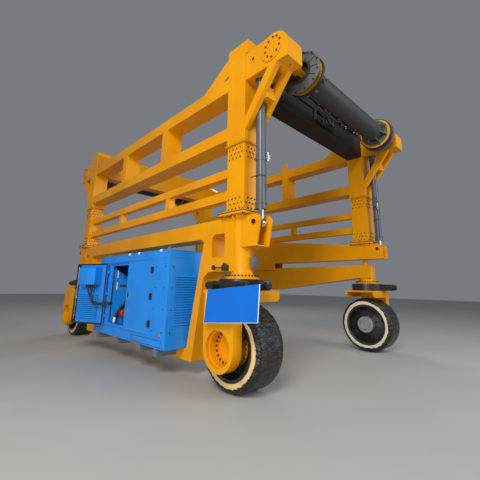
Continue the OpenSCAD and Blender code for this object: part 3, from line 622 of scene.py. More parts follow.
def film_finish(paint):
    """Shipping film: dark stretched plastic with fine creases and bright glints."""
    finish = Finish("film_plastic")
    dust = finish.patches(0.42, 0.80, 9, 5)
    finish.colour(finish.blend(finish.times(dust, 0.35), paint.film_black, (0.070, 0.066, 0.060)))
    folds = finish.maths("ABSOLUTE", finish.maths("SUBTRACT", finish.noise(5, 4, (1, 0.35, 1), 0.6), 0.5))
    creases = finish.maths("ADD", finish.times(folds, -3.0), finish.noise(26, 3, (1, 0.25, 1)))
    finish.bump(creases, 0.026, 1.0)
    finish.roughness(finish.noise(11, 3), 0.35, 0.12)
    return finish.material


def band_finish(paint):
    """Paper band: cream, with darker rings of layers and stains."""
    finish = Finish("band_paper", 0.75)
    radius = axis_distance(finish, LEG_X, WHEEL_Z)
    across = finish.add("ShaderNodeCombineXYZ", X=finish.times(radius, 60.0), Y=finish.times(finish.y, 9.0))
    rings = finish.add("ShaderNodeTexNoise", Vector=across.outputs[0], Scale=2.0, Detail=2.0).outputs["Fac"]
    left = finish.steps(finish.y, MID_Y, MID_Y + 0.1)
    paper = finish.blend(left, paint.band_cream, paint.band_pale)
    layered = finish.blend(left, shade(paint.band_cream, 0.55), shade(paint.band_pale, 0.72))
    tone = finish.blend(finish.steps(rings, 0.45, 0.75), paper, layered)
    stain = finish.patches(0.52, 0.72, 7, 5)
    finish.colour(finish.blend(finish.times(stain, 0.5), tone, (0.34, 0.27, 0.15)))
    finish.bump(finish.noise(40, 4, (1, 0.5, 1)), 0.004, 0.6)
    return finish.material


def make_finishes():
    """All finishes by name."""
    paint = settings()[0]
    chrome = Finish("rod_chrome", 0.12, 1.0)
    chrome.colour(chrome.blend(chrome.patches(0.4, 0.8, 8, 3), (0.62, 0.63, 0.65), (0.50, 0.51, 0.53)))
    chrome.bump(chrome.noise(220, 2, (1, 1, 0.1)), 0.0003, 0.2)
    # Black rubber, also used for the black blocks that are painted shade in the louvres' gaps.
    rubber_and_shade = Finish("black_rubber_and_shade", 0.6)
    rubber_and_shade.colour(
        rubber_and_shade.blend(rubber_and_shade.patches(0.4, 0.8, 12, 4), (0.012, 0.012, 0.012), (0.045, 0.043, 0.040)))
    rubber_and_shade.bump(rubber_and_shade.noise(120, 3), 0.001, 0.4)
    floor = Finish("studio_floor", 0.7)
    floor.colour(floor.blend(floor.patches(0.3, 0.7, 0.8, 4), paint.floor, shade(paint.floor, 0.94)))
    sign = Finish("sign_sheet", 0.30, coat=0.3)
    sheet = sign.blend(sign.patches(0.3, 0.7, 3, 3), paint.sign_blue, shade(paint.sign_blue, 0.9))
    rise = sign.times(sign.maths("SUBTRACT", sign.x, SIGN_AT[0]), math.tan(SIGN_TURN))
    over = sign.maths("SUBTRACT", sign.z, rise)
    top = SIGN_AT[2] + SIGN_SIZE[1] * math.cos(SIGN_LEAN)
    zones(sign, [(sign.steps(over, top + 0.001, top + 0.003), tuple(paint.slew_black))], sheet)
    sign.bump(sign.noise(2.5, 2), 0.002, 0.3)
    made = {
        "yellow": gloss_paint("gantry_paint", paint.gantry_yellow, paint.gantry_orange),
        "blue": sheet_finish(paint),
        "door_blue": panel_paint("door_sheet", paint.canopy_blue).material,
        "beam": plain_paint("front_beam_paint", paint.beam_dark, 0.55, wear=0.4, shine=0.25),
        "cylinder": plain_paint("cylinder_paint", paint.cylinder_grey, 0.36, wear=0.12),
        "slew": plain_paint("slewing_paint", paint.slew_black, 0.38, wear=0.8),
        "engine": plain_paint("engine_paint", (0.02, 0.02, 0.022), 0.5),
        "pad": plain_paint("pad_plastic", (0.03, 0.03, 0.032), 0.5, wear=0.3),
        "black_bolt": plain_paint("black_oxide", (0.020, 0.017, 0.014), 0.4, metallic=0.4, rounded=0),
        "zinc": plain_paint("zinc_plate", (0.45, 0.44, 0.40), 0.35, metallic=0.9, rounded=0),
        "red": plain_paint("filter_red", (0.45, 0.02, 0.02), 0.4, rounded=0),
        "white": plain_paint("light_cover", (0.72, 0.74, 0.74), 0.4, rounded=0),
        "drum": drum_finish(paint),
        "rim": wheel_finish(paint),
        "film": film_finish(paint),
        "band": band_finish(paint),
        "chrome": chrome.material,
        "rubber_and_shade": rubber_and_shade.material,
        "floor": floor.material,
        "sign": sign.material,
    }
    for material in made.values():
        material.use_fake_user = True
    return made


FINISHES = {}

NODE_FINISH = {
    "frame_yellow": "yellow", "pad_plastic": "pad", "rod_chrome": "chrome", "canopy_blue": "blue",
    "engine_iron": "engine", "beam_dark": "beam", "cylinder_grey": "cylinder", "drum_grey": "drum",
    "slew_black": "slew", "rim_black": "rim", "tyre_rubber": "rubber_and_shade", "sign_blue": "sign",
}


def paint_nodes():
    """Give every CAD node its finish."""
    FINISHES.clear()
    FINISHES.update(make_finishes())
    slots = {row["node"]: row["material_slot"] for row in frame["record"]["subparts"]}
    for name, piece in frame["nodes"].items():
        plain_sheet = name in ("door_rear", "control_box")
        material = FINISHES["door_blue" if plain_sheet else NODE_FINISH[slots[name]]]
        if piece.data.materials:
            for index in range(len(piece.data.materials)):
                piece.data.materials[index] = material
        else:
            piece.data.materials.append(material)


# Wheels


def rumple(point, seed, scale):
    """Smooth random value from -1 to 1 at a point."""
    return noise.noise(Vector(point) * scale + Vector((seed * 7.3, seed * 3.1, seed * 5.7)))


def film_section(edge, outside):
    """Film's outside from the inboard sidewall over the tread to the outboard one."""
    half = [(outside, 0.0), (outside, 0.06), (outside, 0.12), (outside, 0.175), (outside - 0.002, 0.215),
            (outside - 0.014, TYRE_SIDE - 0.027), (outside - 0.034, TYRE_SIDE - 0.009),
            (edge + 0.022, TYRE_SIDE + 0.0030), (edge, TYRE_SIDE + 0.0060)]
    return mirrored(half)


def film_wrap(seed):
    """Shipping film round a tyre, wrinkled, with torn edges on both sidewalls."""
    wheels = settings()[1]
    edge = wheels.film_edge
    piece = lathe(film_section(edge, wheels.film_radius), 168, closed=False)
    for vertex in piece.data.vertices:
        x, y, z = vertex.co
        radius, angle = math.hypot(x, z), math.atan2(z, x)
        around = Vector((math.cos(angle), math.sin(angle), 0)) * 2.0
        if radius < edge + 0.005:
            tear = rumple((around.x * 2, around.y * 2, y), seed, 3.0) + 0.6 * rumple(around, seed + 3, 9.0)
            ragged = max(-1.2, min(1.2, 1.4 * tear)) + 2.0 * rumple(around, seed + 7, 0.7)
            radius += wheels.film_tear * ragged
        fold = rumple((around.x * 3, around.y * 3, y * 2.5), seed + 1, 2.2)
        crease = abs(rumple((around.x * 9, around.y * 9, y * 3.0), seed + 2, 1.6))
        radius -= wheels.film_ripple * max(0.0, 0.45 + 0.9 * fold + 0.9 * crease - 0.5)
        if abs(y) > TYRE_SIDE - 0.015:
            y += math.copysign(0.004 * abs(rumple(around, seed + 5, 6.0)), y)
        vertex.co = (radius * math.cos(angle), y, radius * math.sin(angle))
    hold(piece)
    wall = piece.modifiers.new("wall", "SOLIDIFY")
    wall.thickness, wall.offset = 0.0022, -1
    bpy.ops.object.modifier_apply(modifier=wall.name)
    return soften(piece, 0, angle=50)


def tyre_casing():
    """Solid tyre below the film."""
    half = [(0.617, 0.185), (0.614, 0.230), (0.596, 0.258), (0.560, 0.2735), (0.515, 0.274), (0.478, 0.268),
            (0.4555, 0.258)]
    return lathe(mirrored(half), 128)


def paper_bands():
    """Cream paper bands on both sidewalls, in rumpled layers."""
    bands = []
    for side in (-1, 1):
        outline = [
            (0.476, -0.011), (0.478, 0.0035), (0.492, 0.0075), (0.500, 0.0060), (0.512, 0.0080),
            (0.530, 0.0060), (0.545, 0.0030), (0.568, -0.0040), (0.568, -0.0080)]
        band = lathe([(r, side * (TYRE_SIDE + y)) for r, y in outline], 144)
        for vertex in band.data.vertices:
            x, y, z = vertex.co
            angle, radius = math.atan2(z, x), math.hypot(x, z)
            around = Vector((math.cos(angle), math.sin(angle), 0)) * 2.0
            if abs(y) > TYRE_SIDE + 0.0015:
                y += side * 0.003 * rumple((around.x, around.y, radius * 10), 11 + side, 3.0)
            if radius < 0.481:
                radius += 0.004 * rumple(around, 17 + side, 5.0)
            vertex.co = (radius * math.cos(angle), y, radius * math.sin(angle))
        bands.append(band)
    return joined(bands)


def rim_ribs():
    """Shallow ribs in the rim's dish, a valve and its stem."""
    rib = block((0.190, -0.160, -0.011), (0.436, -0.096, 0.011), 0.003)
    for vertex in rib.data.vertices:
        if vertex.co.y < -0.13:
            vertex.co.y += 0.052 * (vertex.co.x - 0.190) / 0.246
    pieces = [turn(copy_of(rib), index * math.pi / 4 + 0.2, "Y") for index in range(8)]
    bpy.data.objects.remove(rib)
    pieces.append(rod((0.395, -0.090, 0.0), (0.400, -0.190, 0.0), 0.008, 0.001, 12))
    pieces.append(rod((0.400, -0.190, 0.0), (0.401, -0.212, 0.0), 0.011, 0.002, 12))
    return joined(pieces)


def dress_wheels():
    """Casing, bands, film, ribs, hub bolts and cap of each wheel, modelled round the wheel's centre."""
    casing, bands, ribs = tyre_casing(), paper_bands(), rim_ribs()
    wraps = [film_wrap(1), film_wrap(4)]
    hub_bolts = bolt_ring(hex_bolt(0.016, 0.006), (0, HUB_FACE, 0), ACROSS, 0.166, 12, -ACROSS)
    cap = move(lathe([
        (0.0, -0.024), (0.088, -0.024), (0.094, -0.032), (0.112, -0.032), (0.118, -0.026), (0.120, 0.0),
        (0.0, 0.0)], 64), (0, HUB_FLOOR, 0))
    for index, (end, side) in enumerate(CORNERS):
        for template, what, finish, slot in (
                (casing, "casing", "rubber_and_shade", "tyre_rubber"), (bands, "paper_bands", "band", "tyre_rubber"),
                (wraps[index % 2], "film", "film", "tyre_rubber"), (ribs, "rim_ribs", "rim", "rim_black"),
                (hub_bolts, "hub_bolts", "rim", "rim_black"), (cap, "hub_cap", "rim", "rim_black")):
            piece = turn(copy_of(template), 0.9 * index + 0.3, "Y")
            move(piece, (LEG_X, WHEEL_Y, WHEEL_Z))
            corner = f"{end}_{side}"
            place(piece, f"{what}_{corner}", f"wheel_{corner}", finish, ENDS[end], SIDES[side])
            if what == "casing":
                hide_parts(f"tyre_{end}_{side}")
    for template in (casing, bands, ribs, hub_bolts, cap, *wraps):
        bpy.data.objects.remove(template)


# Yokes and slewing drives


def dress_yokes():
    """Screws deep in the fork arms' recesses, motor covers, and the motor flanges with their bolts."""
    screw_circle, bolt_circle, flange_t = 0.2185, 0.262, 0.026
    screws = bolt_ring(
        socket_screw(0.036, 0.012), (LEG_X, RECESS_Y, WHEEL_Z), ACROSS, screw_circle, settings()[1].arm_bolts)
    at_corners(screws, "arm_bolts", "steer", "black_bolt")
    lip = lathe([(0.196, 0.0), (0.196, 0.006), (0.203, 0.006), (0.2035, 0.0)], 96)
    move(lip, (LEG_X, RECESS_Y - 0.034, WHEEL_Z))
    at_corners(lip, "motor_cover", "steer", "yellow")
    flange = lathe([(0.249, 0.0), (0.249, flange_t), (0.273, flange_t), (0.276, 0.023), (0.276, 0.0)], 96)
    at_corners(move(flange, (LEG_X, MOTOR_Y, WHEEL_Z)), "motor_flange", "steer", "yellow")
    bolts = bolt_ring(hex_bolt(0.022, 0.014), (LEG_X, MOTOR_Y + flange_t, WHEEL_Z), ACROSS, bolt_circle, 24)
    at_corners(bolts, "flange_bolts", "steer", "black_bolt")


def dress_slewing():
    """Bolts of the leg flanges, caps, collars and plugs of the worm housings, and the slewing motors."""
    worm, z, flange_top, bolt_circle = LEG_Y + 0.325, 1.517, 1.655, 0.262
    bolts = bolt_ring(hex_bolt(0.030, 0.026), (LEG_X, LEG_Y, flange_top), UP, bolt_circle, 30)
    at_corners(bolts, "leg_flange_bolts", "chassis", "black_bolt")
    parts = []
    for x, out in ((3.030, -1), (3.930, 1)):
        cap = lathe([(0.0, 0.0), (0.0, 0.014), (0.052, 0.014), (0.058, 0.008), (0.058, 0.0)], 40)
        parts.append(move(turn(cap, -out * math.pi / 2, "Z"), (x, worm, z)))
        parts.append(bolt_ring(
            hex_bolt(0.018, 0.012), (x + out * 0.014, worm, z), ALONG, 0.040, 6, ALONG * out))
    for x in (3.20, 3.45, 3.72):
        collar = lathe([(0.060, -0.012), (0.070, -0.012), (0.070, 0.012), (0.060, 0.012)], 40)
        parts.append(move(turn(collar, math.pi / 2, "Z"), (x, worm, z)))
    parts.append(rod((3.30, worm, z + 0.055), (3.30, worm, z + 0.085), 0.016, 0.002, 6))
    parts.append(rod((3.60, worm + 0.05, z + 0.02), (3.60, worm + 0.075, z + 0.03), 0.014, 0.002, 6))
    at_corners(joined(parts), "worm_caps", "steer", "slew")
    motor = lathe([
        (0.0, 0.0), (0.0, 0.10), (0.030, 0.10), (0.036, 0.094), (0.062, 0.088), (0.062, 0.010),
        (0.072, 0.006), (0.072, 0.0)], 40)
    move(turn(motor, -math.pi / 2, "Z"), (4.060, LEG_Y + 0.12, 1.525))
    at_corners(motor, "slew_motor", "steer", "slew")


# Sleeves, cylinders, legs and hoist


def pad_bolt_places():
    """Point and direction of each wear pad's bolt, in two staggered bands on the four faces of a sleeve."""
    half_l, half_w, pitch_x, pitch_y = 0.205, 0.190, 0.088, 0.080
    places = []
    for band_low in (SLEEVE_Z[0] + 0.070, SLEEVE_Z[1] - 0.265):
        for row in range(3):
            z = band_low + row * 0.085
            shift = 0.022 if row % 2 else -0.022
            for column in range(4):
                x = (column - 1.5) * pitch_x + shift
                y = (column - 1.5) * pitch_y + shift
                for out in (-1, 1):
                    places.append((Vector((LEG_X + x, LEG_Y + out * half_w, z)), ACROSS * out))
                    places.append((Vector((LEG_X + out * half_l, LEG_Y + y, z)), ALONG * out))
    return places


def dress_sleeves():
    """Bolts of the wear pads in the sleeves' faces, and of the flanges."""
    fasteners = settings()[2]
    reach, above, below = 0.25, 2.695, 2.635
    spots = (
        (-reach, -reach), (0, -reach), (reach, -reach), (-reach, 0), (-reach, reach), (0, reach),
        (reach, reach))
    bolts = spread(socket_screw(fasteners.pad_bolt, 0.007), pad_bolt_places())
    at_corners(bolts, "pad_bolts", "chassis", "black_bolt")
    flange = []
    for x, y in spots:
        flange.append((Vector((LEG_X + x, LEG_Y + y, above)), UP))
        flange.append((Vector((LEG_X + x, LEG_Y + y, below)), -UP))
    bolts = spread(hex_bolt(fasteners.flange_bolt, 0.024), flange)
    at_corners(bolts, "flange_bolts_top", "chassis", "black_bolt")


def dress_cylinders():
    """Caps of the lower pins, and each barrel's ring, pipe, valve and strap."""
    pipe_x, pipe_y, valve_z = CYLINDER_X + 0.066, LEG_Y - 0.070, 3.60
    pins = []
    for out in (-1, 1):
        cap = lathe([(0.0, 0.0), (0.0, 0.012), (0.034, 0.012), (0.039, 0.006), (0.039, 0.0)], 40)
        if out < 0:
            turn(cap, math.pi, "Z")
        pins.append(move(cap, (CYLINDER_X, LEG_Y + out * 0.170, 2.485)))
    at_corners(joined(pins), "low_pin", "chassis", "black_bolt")
    gland = lathe([(0.079, -0.015), (0.096, -0.015), (0.096, 0.015), (0.079, 0.015)], 48)
    move(turn(gland, math.pi / 2, "X"), (CYLINDER_X, LEG_Y, 2.80))
    pipe = [rod((pipe_x, pipe_y, 2.78), (pipe_x, pipe_y, 4.35), 0.009, 0.001, 12)]
    for z in (2.80, 4.33):
        pipe.append(rod((pipe_x, pipe_y, z), (CYLINDER_X + 0.040, LEG_Y - 0.040, z), 0.017, 0.002, 12))
        pipe.append(rod((pipe_x, pipe_y, z - 0.025), (pipe_x, pipe_y, z + 0.025), 0.015, 0.003, 6))
    low = Vector((pipe_x - 0.020, pipe_y - 0.060, valve_z - 0.045))
    valve = [block(low, low + Vector((0.050, 0.062, 0.090)), 0.004)]
    for dz in (-0.060, 0.060):
        foot = Vector((pipe_x + 0.005, pipe_y - 0.030, valve_z + dz * 0.7))
        valve.append(rod(foot, foot + Vector((0, 0, dz * 0.6)), 0.014, 0.002, 6))
    stem = Vector((pipe_x + 0.028, pipe_y - 0.030, valve_z))
    valve.append(rod(stem, stem + Vector((0.030, 0, 0)), 0.016, 0.002, 6))
    strap = lathe([(0.0795, -0.010), (0.0835, -0.010), (0.0835, 0.010), (0.0795, 0.010)], 48)
    move(turn(strap, math.pi / 2, "X"), (CYLINDER_X, LEG_Y, 3.25))
    tail = block(
        (CYLINDER_X - 0.150, LEG_Y + 0.078, 3.242), (CYLINDER_X - 0.010, LEG_Y + 0.084, 3.258), 0.001)
    for parts, what, finish in (
            ([gland], "barrel_rings", "cylinder"), (pipe, "barrel_pipe", "cylinder"),
            (valve, "barrel_valve", "zinc"), ([strap, tail], "barrel_strap", "rubber_and_shade")):
        at_corners(joined(parts), what, "upper_frame", finish)


def dress_legs():
    """Gaskets between the leg and sleeve flanges, and what is bolted to the front right leg."""
    half, joint = 0.283, 2.675
    gasket = block(
        (LEG_X - half, LEG_Y - half, joint - 0.007), (LEG_X + half, LEG_Y + half, joint + 0.007), 0)
    at_corners(gasket, "flange_gasket", "chassis", "rubber_and_shade")
    y, z = -2.243, 1.875
    plate = block((3.700, -2.318, 1.775), (3.712, -2.168, 1.975), 0.020, 4)
    bolt = spread(hex_bolt(0.022, 0.010), [(Vector((3.712, y, z)), ALONG)])
    arm = rod((3.655, y, z), (3.702, y, z), 0.022, 0.003, 3)
    place(joined([plate, bolt, arm]), "sensor_plate", "chassis", "cylinder")
    y = -FRAME_OUT - 0.045
    bar = [
        rod((3.03, y, 1.80), (3.34, y, 1.79), 0.011, 0.001, 16),
        rod((3.03, y, 1.765), (3.03, y, 1.840), 0.024, 0.004, 16),
        rod((3.03, y - 0.03, 1.80), (3.03, -FRAME_OUT, 1.80), 0.015, 0.002, 6),
        block((3.27, y - 0.035, 1.745), (3.37, -FRAME_OUT, 1.835), 0.006),
        rod((3.29, y, 1.83), (3.29, y, 1.875), 0.018, 0.003, 6),
        rod((3.345, y, 1.83), (3.345, y, 1.860), 0.015, 0.003, 6),
        rod((3.20, y, 1.783), (3.20, y, 1.807), 0.019, 0.002, 6),
    ]
    place(joined(bar), "grease_block", "chassis", "engine")


def dress_drums():
    """Shell round each drum's tube, with gussets against the hub plates."""
    shell_r, shell_y, plate_y, chamfer, gussets = 0.222, 1.455, 1.459, 0.006, 8
    for end in ENDS:
        half = [(shell_r, shell_y - chamfer), (shell_r - chamfer, shell_y), (0.183, shell_y)]
        pieces = [lathe(mirrored(half), 96)]
        for side in (-1, 1):
            for index in range(gussets):
                fin = block((shell_r - 0.010, plate_y - 0.240, -0.009), (0.330, plate_y, 0.009), 0)
                for vertex in fin.data.vertices:
                    if vertex.co.x > shell_r and vertex.co.y < plate_y - 0.1:
                        vertex.co.y = plate_y - 0.040
                turn(fin, (index + 0.5) * math.pi / 4, "Y")
                pieces.append(mirror(fin, 1, side))
        shell = move(joined(pieces), (DRUM_X, 0, DRUM_Z))
        place(shell, f"drum_shell_{end}", f"hoist_{end}", "drum", ENDS[end])


def dress_beam():
    """Pipes, hoses, a tray and fittings along the front cross beam's face."""
    dark = [
        rod((BEAM_FACE + out, y0, z0), (BEAM_FACE + out, y1, z1), radius, 0.002, 16)
        for out, y0, z0, y1, z1, radius in (
            (0.022, -1.15, 5.455, -0.28, 5.455, 0.018), (0.026, -1.15, 5.640, 1.90, 5.690, 0.020),
            (0.022, 0.30, 5.770, 1.95, 5.770, 0.016), (0.030, 0.70, 5.540, 1.90, 5.600, 0.014))]
    for y in (-1.00, -0.55, -0.10, 0.40, 0.85, 1.30, 1.75):
        dark.append(block(
            (BEAM_FACE - 0.002, y - 0.022, 5.600), (BEAM_FACE + 0.052, y + 0.022, 5.730), 0.004))
    for y, z in ((-0.05, 5.500), (0.03, 5.465)):
        dark.append(block(
            (BEAM_FACE - 0.002, y - 0.130, z - 0.010), (BEAM_FACE + 0.075, y + 0.060, z + 0.010), 0.003))
    tray = turn(border(-0.265, 0.500, 5.185, 5.440, 0.024, 0.070, -1), math.pi / 2, "Z")
    dark.append(move(tray, (BEAM_FACE, 0, 0)))
    for y, z, major in ((0.20, 5.320, 0.105), (0.30, 5.340, 0.085), (0.36, 5.300, 0.100)):
        dark.append(loop_bar((BEAM_FACE + 0.045, y, z), (0.25, math.pi / 2 - 0.2, 0), major, 0.014, 40))
    for start, sag, end in (
            ((-0.90, 5.60), (-0.40, 5.50), (0.10, 5.40)), ((0.10, 5.66), (0.50, 5.46), (0.95, 5.62)),
            ((0.60, 5.74), (1.05, 5.50), (1.60, 5.72)), ((1.10, 5.76), (1.45, 5.56), (1.88, 5.74))):
        route = [(BEAM_FACE + 0.030, *start), (BEAM_FACE + 0.070, *sag), (BEAM_FACE + 0.030, *end)]
        dark.append(as_mesh(tube(route, 0.015, "beam_hose", 12)))
    place(joined(dark), "beam_services", "upper_frame", "engine")
    x = BEAM_FACE + 0.030
    bright = []
    for y, z in ((0.26, 5.735), (0.97, 5.560), (1.19, 5.560), (1.62, 5.600), (1.79, 5.640)):
        bright.append(rod((x, y - 0.030, z), (x, y + 0.030, z), 0.022, 0.003, 6))
        bright.append(rod((x, y, z), (x, y, z - 0.050), 0.015, 0.002, 12))
    place(joined(bright), "beam_fittings", "upper_frame", "zinc")


def dress_hoist():
    """Bolts of the arms' covers, rings and ends of the cylinders' upper pins, and bolts of the drums."""
    cover = [
        (4.168, 5.300), (4.216, 5.202), (4.300, 5.150), (4.400, 5.220), (4.455, 5.300), (4.470, 5.400),
        (4.412, 5.480), (4.330, 5.510), (4.240, 5.470), (4.178, 5.400)]
    pin_at = (CYLINDER_X, FRAME_OUT, 5.355)
    bolts = spread(hex_bolt(0.030, 0.018), [
        (Vector((x, FRAME_OUT + 0.012, z)), ACROSS) for x, z in cover])
    at_corners(bolts, "cover_bolts", "upper_frame", "black_bolt")
    eye = lathe([(0.030, 0.0), (0.030, 0.010), (0.052, 0.010), (0.056, 0.006), (0.056, 0.0)], 48)
    at_corners(move(eye, pin_at), "pin_ring", "upper_frame", "yellow")
    pin = lathe([(0.0, 0.0), (0.0, 0.0015), (0.031, 0.0015), (0.031, 0.0)], 32)
    at_corners(move(pin, pin_at), "pin_end", "upper_frame", "black_bolt")
    flange_y, bolt_circle, count = 1.7225, 0.376, 12
    for end in ENDS:
        places = [
            (point, ACROSS * out) for out in (-1, 1)
            for point in ring((DRUM_X, out * flange_y, DRUM_Z), ACROSS, bolt_circle, count, math.pi / count)]
        bolts = spread(hex_bolt(0.028, 0.018), places)
        place(bolts, f"drum_bolts_{end}", f"hoist_{end}", "black_bolt", ENDS[end])


# Generator. Here Y is negative, since it hangs on the right side.


def on_canopy(piece, name, finish):
    """Place a piece on the generator's canopy or inside it."""
    place(piece, name, "chassis", finish)


def on_rear_door(x, depth, z):
    """Point given from the open rear door's hinge: along the door, inward from its inner face, and height."""
    local = Vector((x, HINGE_Y - GEN_Y + 0.040 + depth, 0))
    return Matrix.Rotation(-DOOR_OPEN, 3, "Z") @ local + Vector((DOOR_X, -HINGE_Y, z))


def swung(piece, name, finish):
    """Place a piece modelled on the closed rear door where that door stands open."""
    turn(piece, -DOOR_OPEN, "Z", (DOOR_X, -HINGE_Y, 0))
    place(piece, name, "rear_door", finish)


def slats(x0, x1, z0, count, out):
    """Louvre blades that slope out of a face at y = 0 towards out."""
    depth = 0.020
    blade = block((x0, 0, 0), (x1, 0.002, 0.030), 0)
    for vertex in blade.data.vertices:
        if vertex.co.z < 0.01:
            vertex.co.y += depth
    if out < 0:
        mirror(blade, 1, -1)
    blades = [move(copy_of(blade), (0, 0, z0 + index * LOUVRE_PITCH)) for index in range(count)]
    bpy.data.objects.remove(blade)
    return joined(blades)


def dress_canopy():
    """Screws, roof cap, end louvres with painted shade in their gaps, lifting eyes, filler cap, skid cover,
    roof clips and doorway seals.
    """
    face, rows = GEN_FACE, (0.72, 1.09, 1.46, 1.83)
    screws = [(Vector((x, face - 0.003, z)), -ACROSS) for x in (1.86, 2.17) for z in rows]
    screws += [(Vector((GEN_X1 + 0.003, y, z)), ALONG) for y in (-2.82, -1.93) for z in rows]
    screws += [(Vector((x, face, GEN_TOP - 0.05)), -ACROSS) for x in (-0.80, -0.05, 0.70, 1.45, 2.22)]
    screws += [(Vector((x, face, 0.475)), -ACROSS) for x in (-0.80, -0.05, 0.95, 1.75, 2.22)]
    on_canopy(spread(socket_screw(settings()[2].panel_screw, 0.007), screws), "canopy_screws", "black_bolt")

    cap = block(
        (GEN_X0 - 0.006, face - 0.006, GEN_TOP - 0.004), (GEN_X1 + 0.006, -1.844, GEN_TOP + 0.012), 0.006)
    on_canopy(cap, "roof_cap", "door_blue")

    y0, y1, z0, count = -2.765, -1.98, 0.835, 20
    blades = turn(slats(y0, y1, z0, count, -1), math.pi / 2, "Z")
    on_canopy(move(blades, (GEN_X1 + 0.002, 0, 0)), "end_louvres", "door_blue")
    # Black blocks in the gaps between the end louvre blades: painted shade of the dark canopy inside behind
    # them.
    gap_shade_blocks = []
    for index in range(count):
        z = z0 + index * LOUVRE_PITCH
        gap_shade_blocks.append(block((GEN_X1 - 0.010, y0, z + 0.010), (GEN_X1 + 0.0036, y1, z + 0.022), 0))
    on_canopy(joined(gap_shade_blocks), "end_louvre_gap_shade", "rubber_and_shade")

    eyes = []
    for x, y in ((-0.62, -2.78), (-0.62, -1.97), (2.05, -2.78), (2.05, -1.97)):
        eyes.append(rod((x, y, GEN_TOP + 0.010), (x, y, GEN_TOP + 0.030), 0.016, 0.002, 16))
        eyes.append(loop_bar((x, y, GEN_TOP + 0.055), (math.pi / 2, 0, 0), 0.026, 0.008, 28))
    on_canopy(joined(eyes), "lifting_eyes", "zinc")

    cap = lathe([(0.0, 0.0), (0.0, 0.020), (0.030, 0.020), (0.038, 0.014), (0.040, 0.0)], 40)
    on_canopy(move(turn(cap, math.pi, "Z"), (2.08, face - 0.003, 0.665)), "filler_cap", "zinc")

    x0, x1, z0, z1 = 1.06, 2.16, 0.470, 0.575
    on_canopy(block((x0, face - 0.004, z0), (x1, face + 0.001, z1), 0.003), "skid_cover", "door_blue")
    gap = border(x0, x1, z0, z1, 0.007, 0.0052, -1)
    on_canopy(move(gap, (0, face + 0.0004, 0)), "skid_cover_gap", "rubber_and_shade")

    clips = [
        block((x - 0.030, face - 0.016, GEN_TOP - 0.020), (x + 0.030, face + 0.020, GEN_TOP + 0.024), 0.006)
        for x in (0.70, 1.12, 1.98)]
    on_canopy(joined(clips), "roof_clips", "white")

    z0, z1 = DOOR_Z0 + JAMB_END, DOOR_Z1 - JAMB_END
    seal = border(DOOR_X + JAMB_HINGE, DOOR_X1 - JAMB_LATCH, z0, z1, 0.022, 0.028, 1)
    outer = border(DOOR_X + 0.004, DOOR_X1 - 0.004, DOOR_Z0 + 0.004, DOOR_Z1 - 0.004, 0.016, 0.010, 1)
    covered = border(
        FRONT_DOOR_X + 0.036, FRONT_HINGE_X - 0.104, DOOR_Z0 + 0.064, DOOR_Z1 - 0.064, 0.012, 0.003, -1)
    for piece, depth in ((seal, 0.0435), (outer, 0.042), (covered, 0.0448)):
        move(piece, (0, face + depth, 0))
    on_canopy(joined([seal, outer, covered]), "doorway_seals", "rubber_and_shade")


def dress_inside():
    """Partition beside the open doorway with lamps, a slotted vent, a corrugated hose and a filter."""
    back, outer_y = -0.172, -2.836
    front = back + 0.006
    sheet = block((back, outer_y, 0.600), (front, -2.400, 1.885), 0)
    for vertex in sheet.data.vertices:
        if vertex.co.z > 1.8:
            vertex.co.z -= 0.62 * max(0.0, vertex.co.y - outer_y)
    on_canopy(sheet, "partition", "door_blue")
    covers, rims = [], []
    for z0, z1 in ((1.640, 1.812), (1.382, 1.552)):
        covers.append(block((front, -2.750, z0), (front + 0.014, -2.722, z1), 0.005))
        rims.append(block((front, -2.756, z0 - 0.008), (front + 0.005, -2.710, z1 + 0.008), 0.003))
    on_canopy(joined(covers), "lamp_covers", "white")
    vents = [
        block((front, -2.668 + 0.021 * i, 1.446), (front + 0.004, -2.653 + 0.021 * i, 1.502), 0.002)
        for i in range(8)]
    on_canopy(joined(rims + vents), "lamp_frames_and_vent", "rubber_and_shade")
    body = lathe([
        (0.0, -0.10), (0.060, -0.10), (0.074, -0.088), (0.078, 0.0), (0.078, 0.090), (0.066, 0.100),
        (0.062, 0.092), (0.0, 0.088)], 48)
    move(turn(body, -math.pi / 2, "Z"), (front + 0.10, -2.590, 0.868))
    on_canopy(body, "filter", "red")
    x = front + 0.060
    route = ((-2.420, 1.270), (-2.530, 1.110), (-2.630, 0.985), (-2.705, 0.870), (-2.738, 0.775))
    line = [Vector((x, y, z)) for y, z in route]
    hose = [as_mesh(tube(line, 0.026, "suction_hose", 10))]
    for start, end in zip(line, line[1:]):
        for step in range(6):
            at = start.lerp(end, step / 6)
            hose.append(rod(at, at + (end - start).normalized() * 0.012, 0.032, 0.003, 20))
    on_canopy(joined(hose), "suction_hose", "rubber_and_shade")
    cuff = rod(line[-1] + Vector((0, -0.004, 0.012)), (x, -2.757, 0.672), 0.030, 0.003, 24)
    on_canopy(cuff, "hose_cuff", "white")


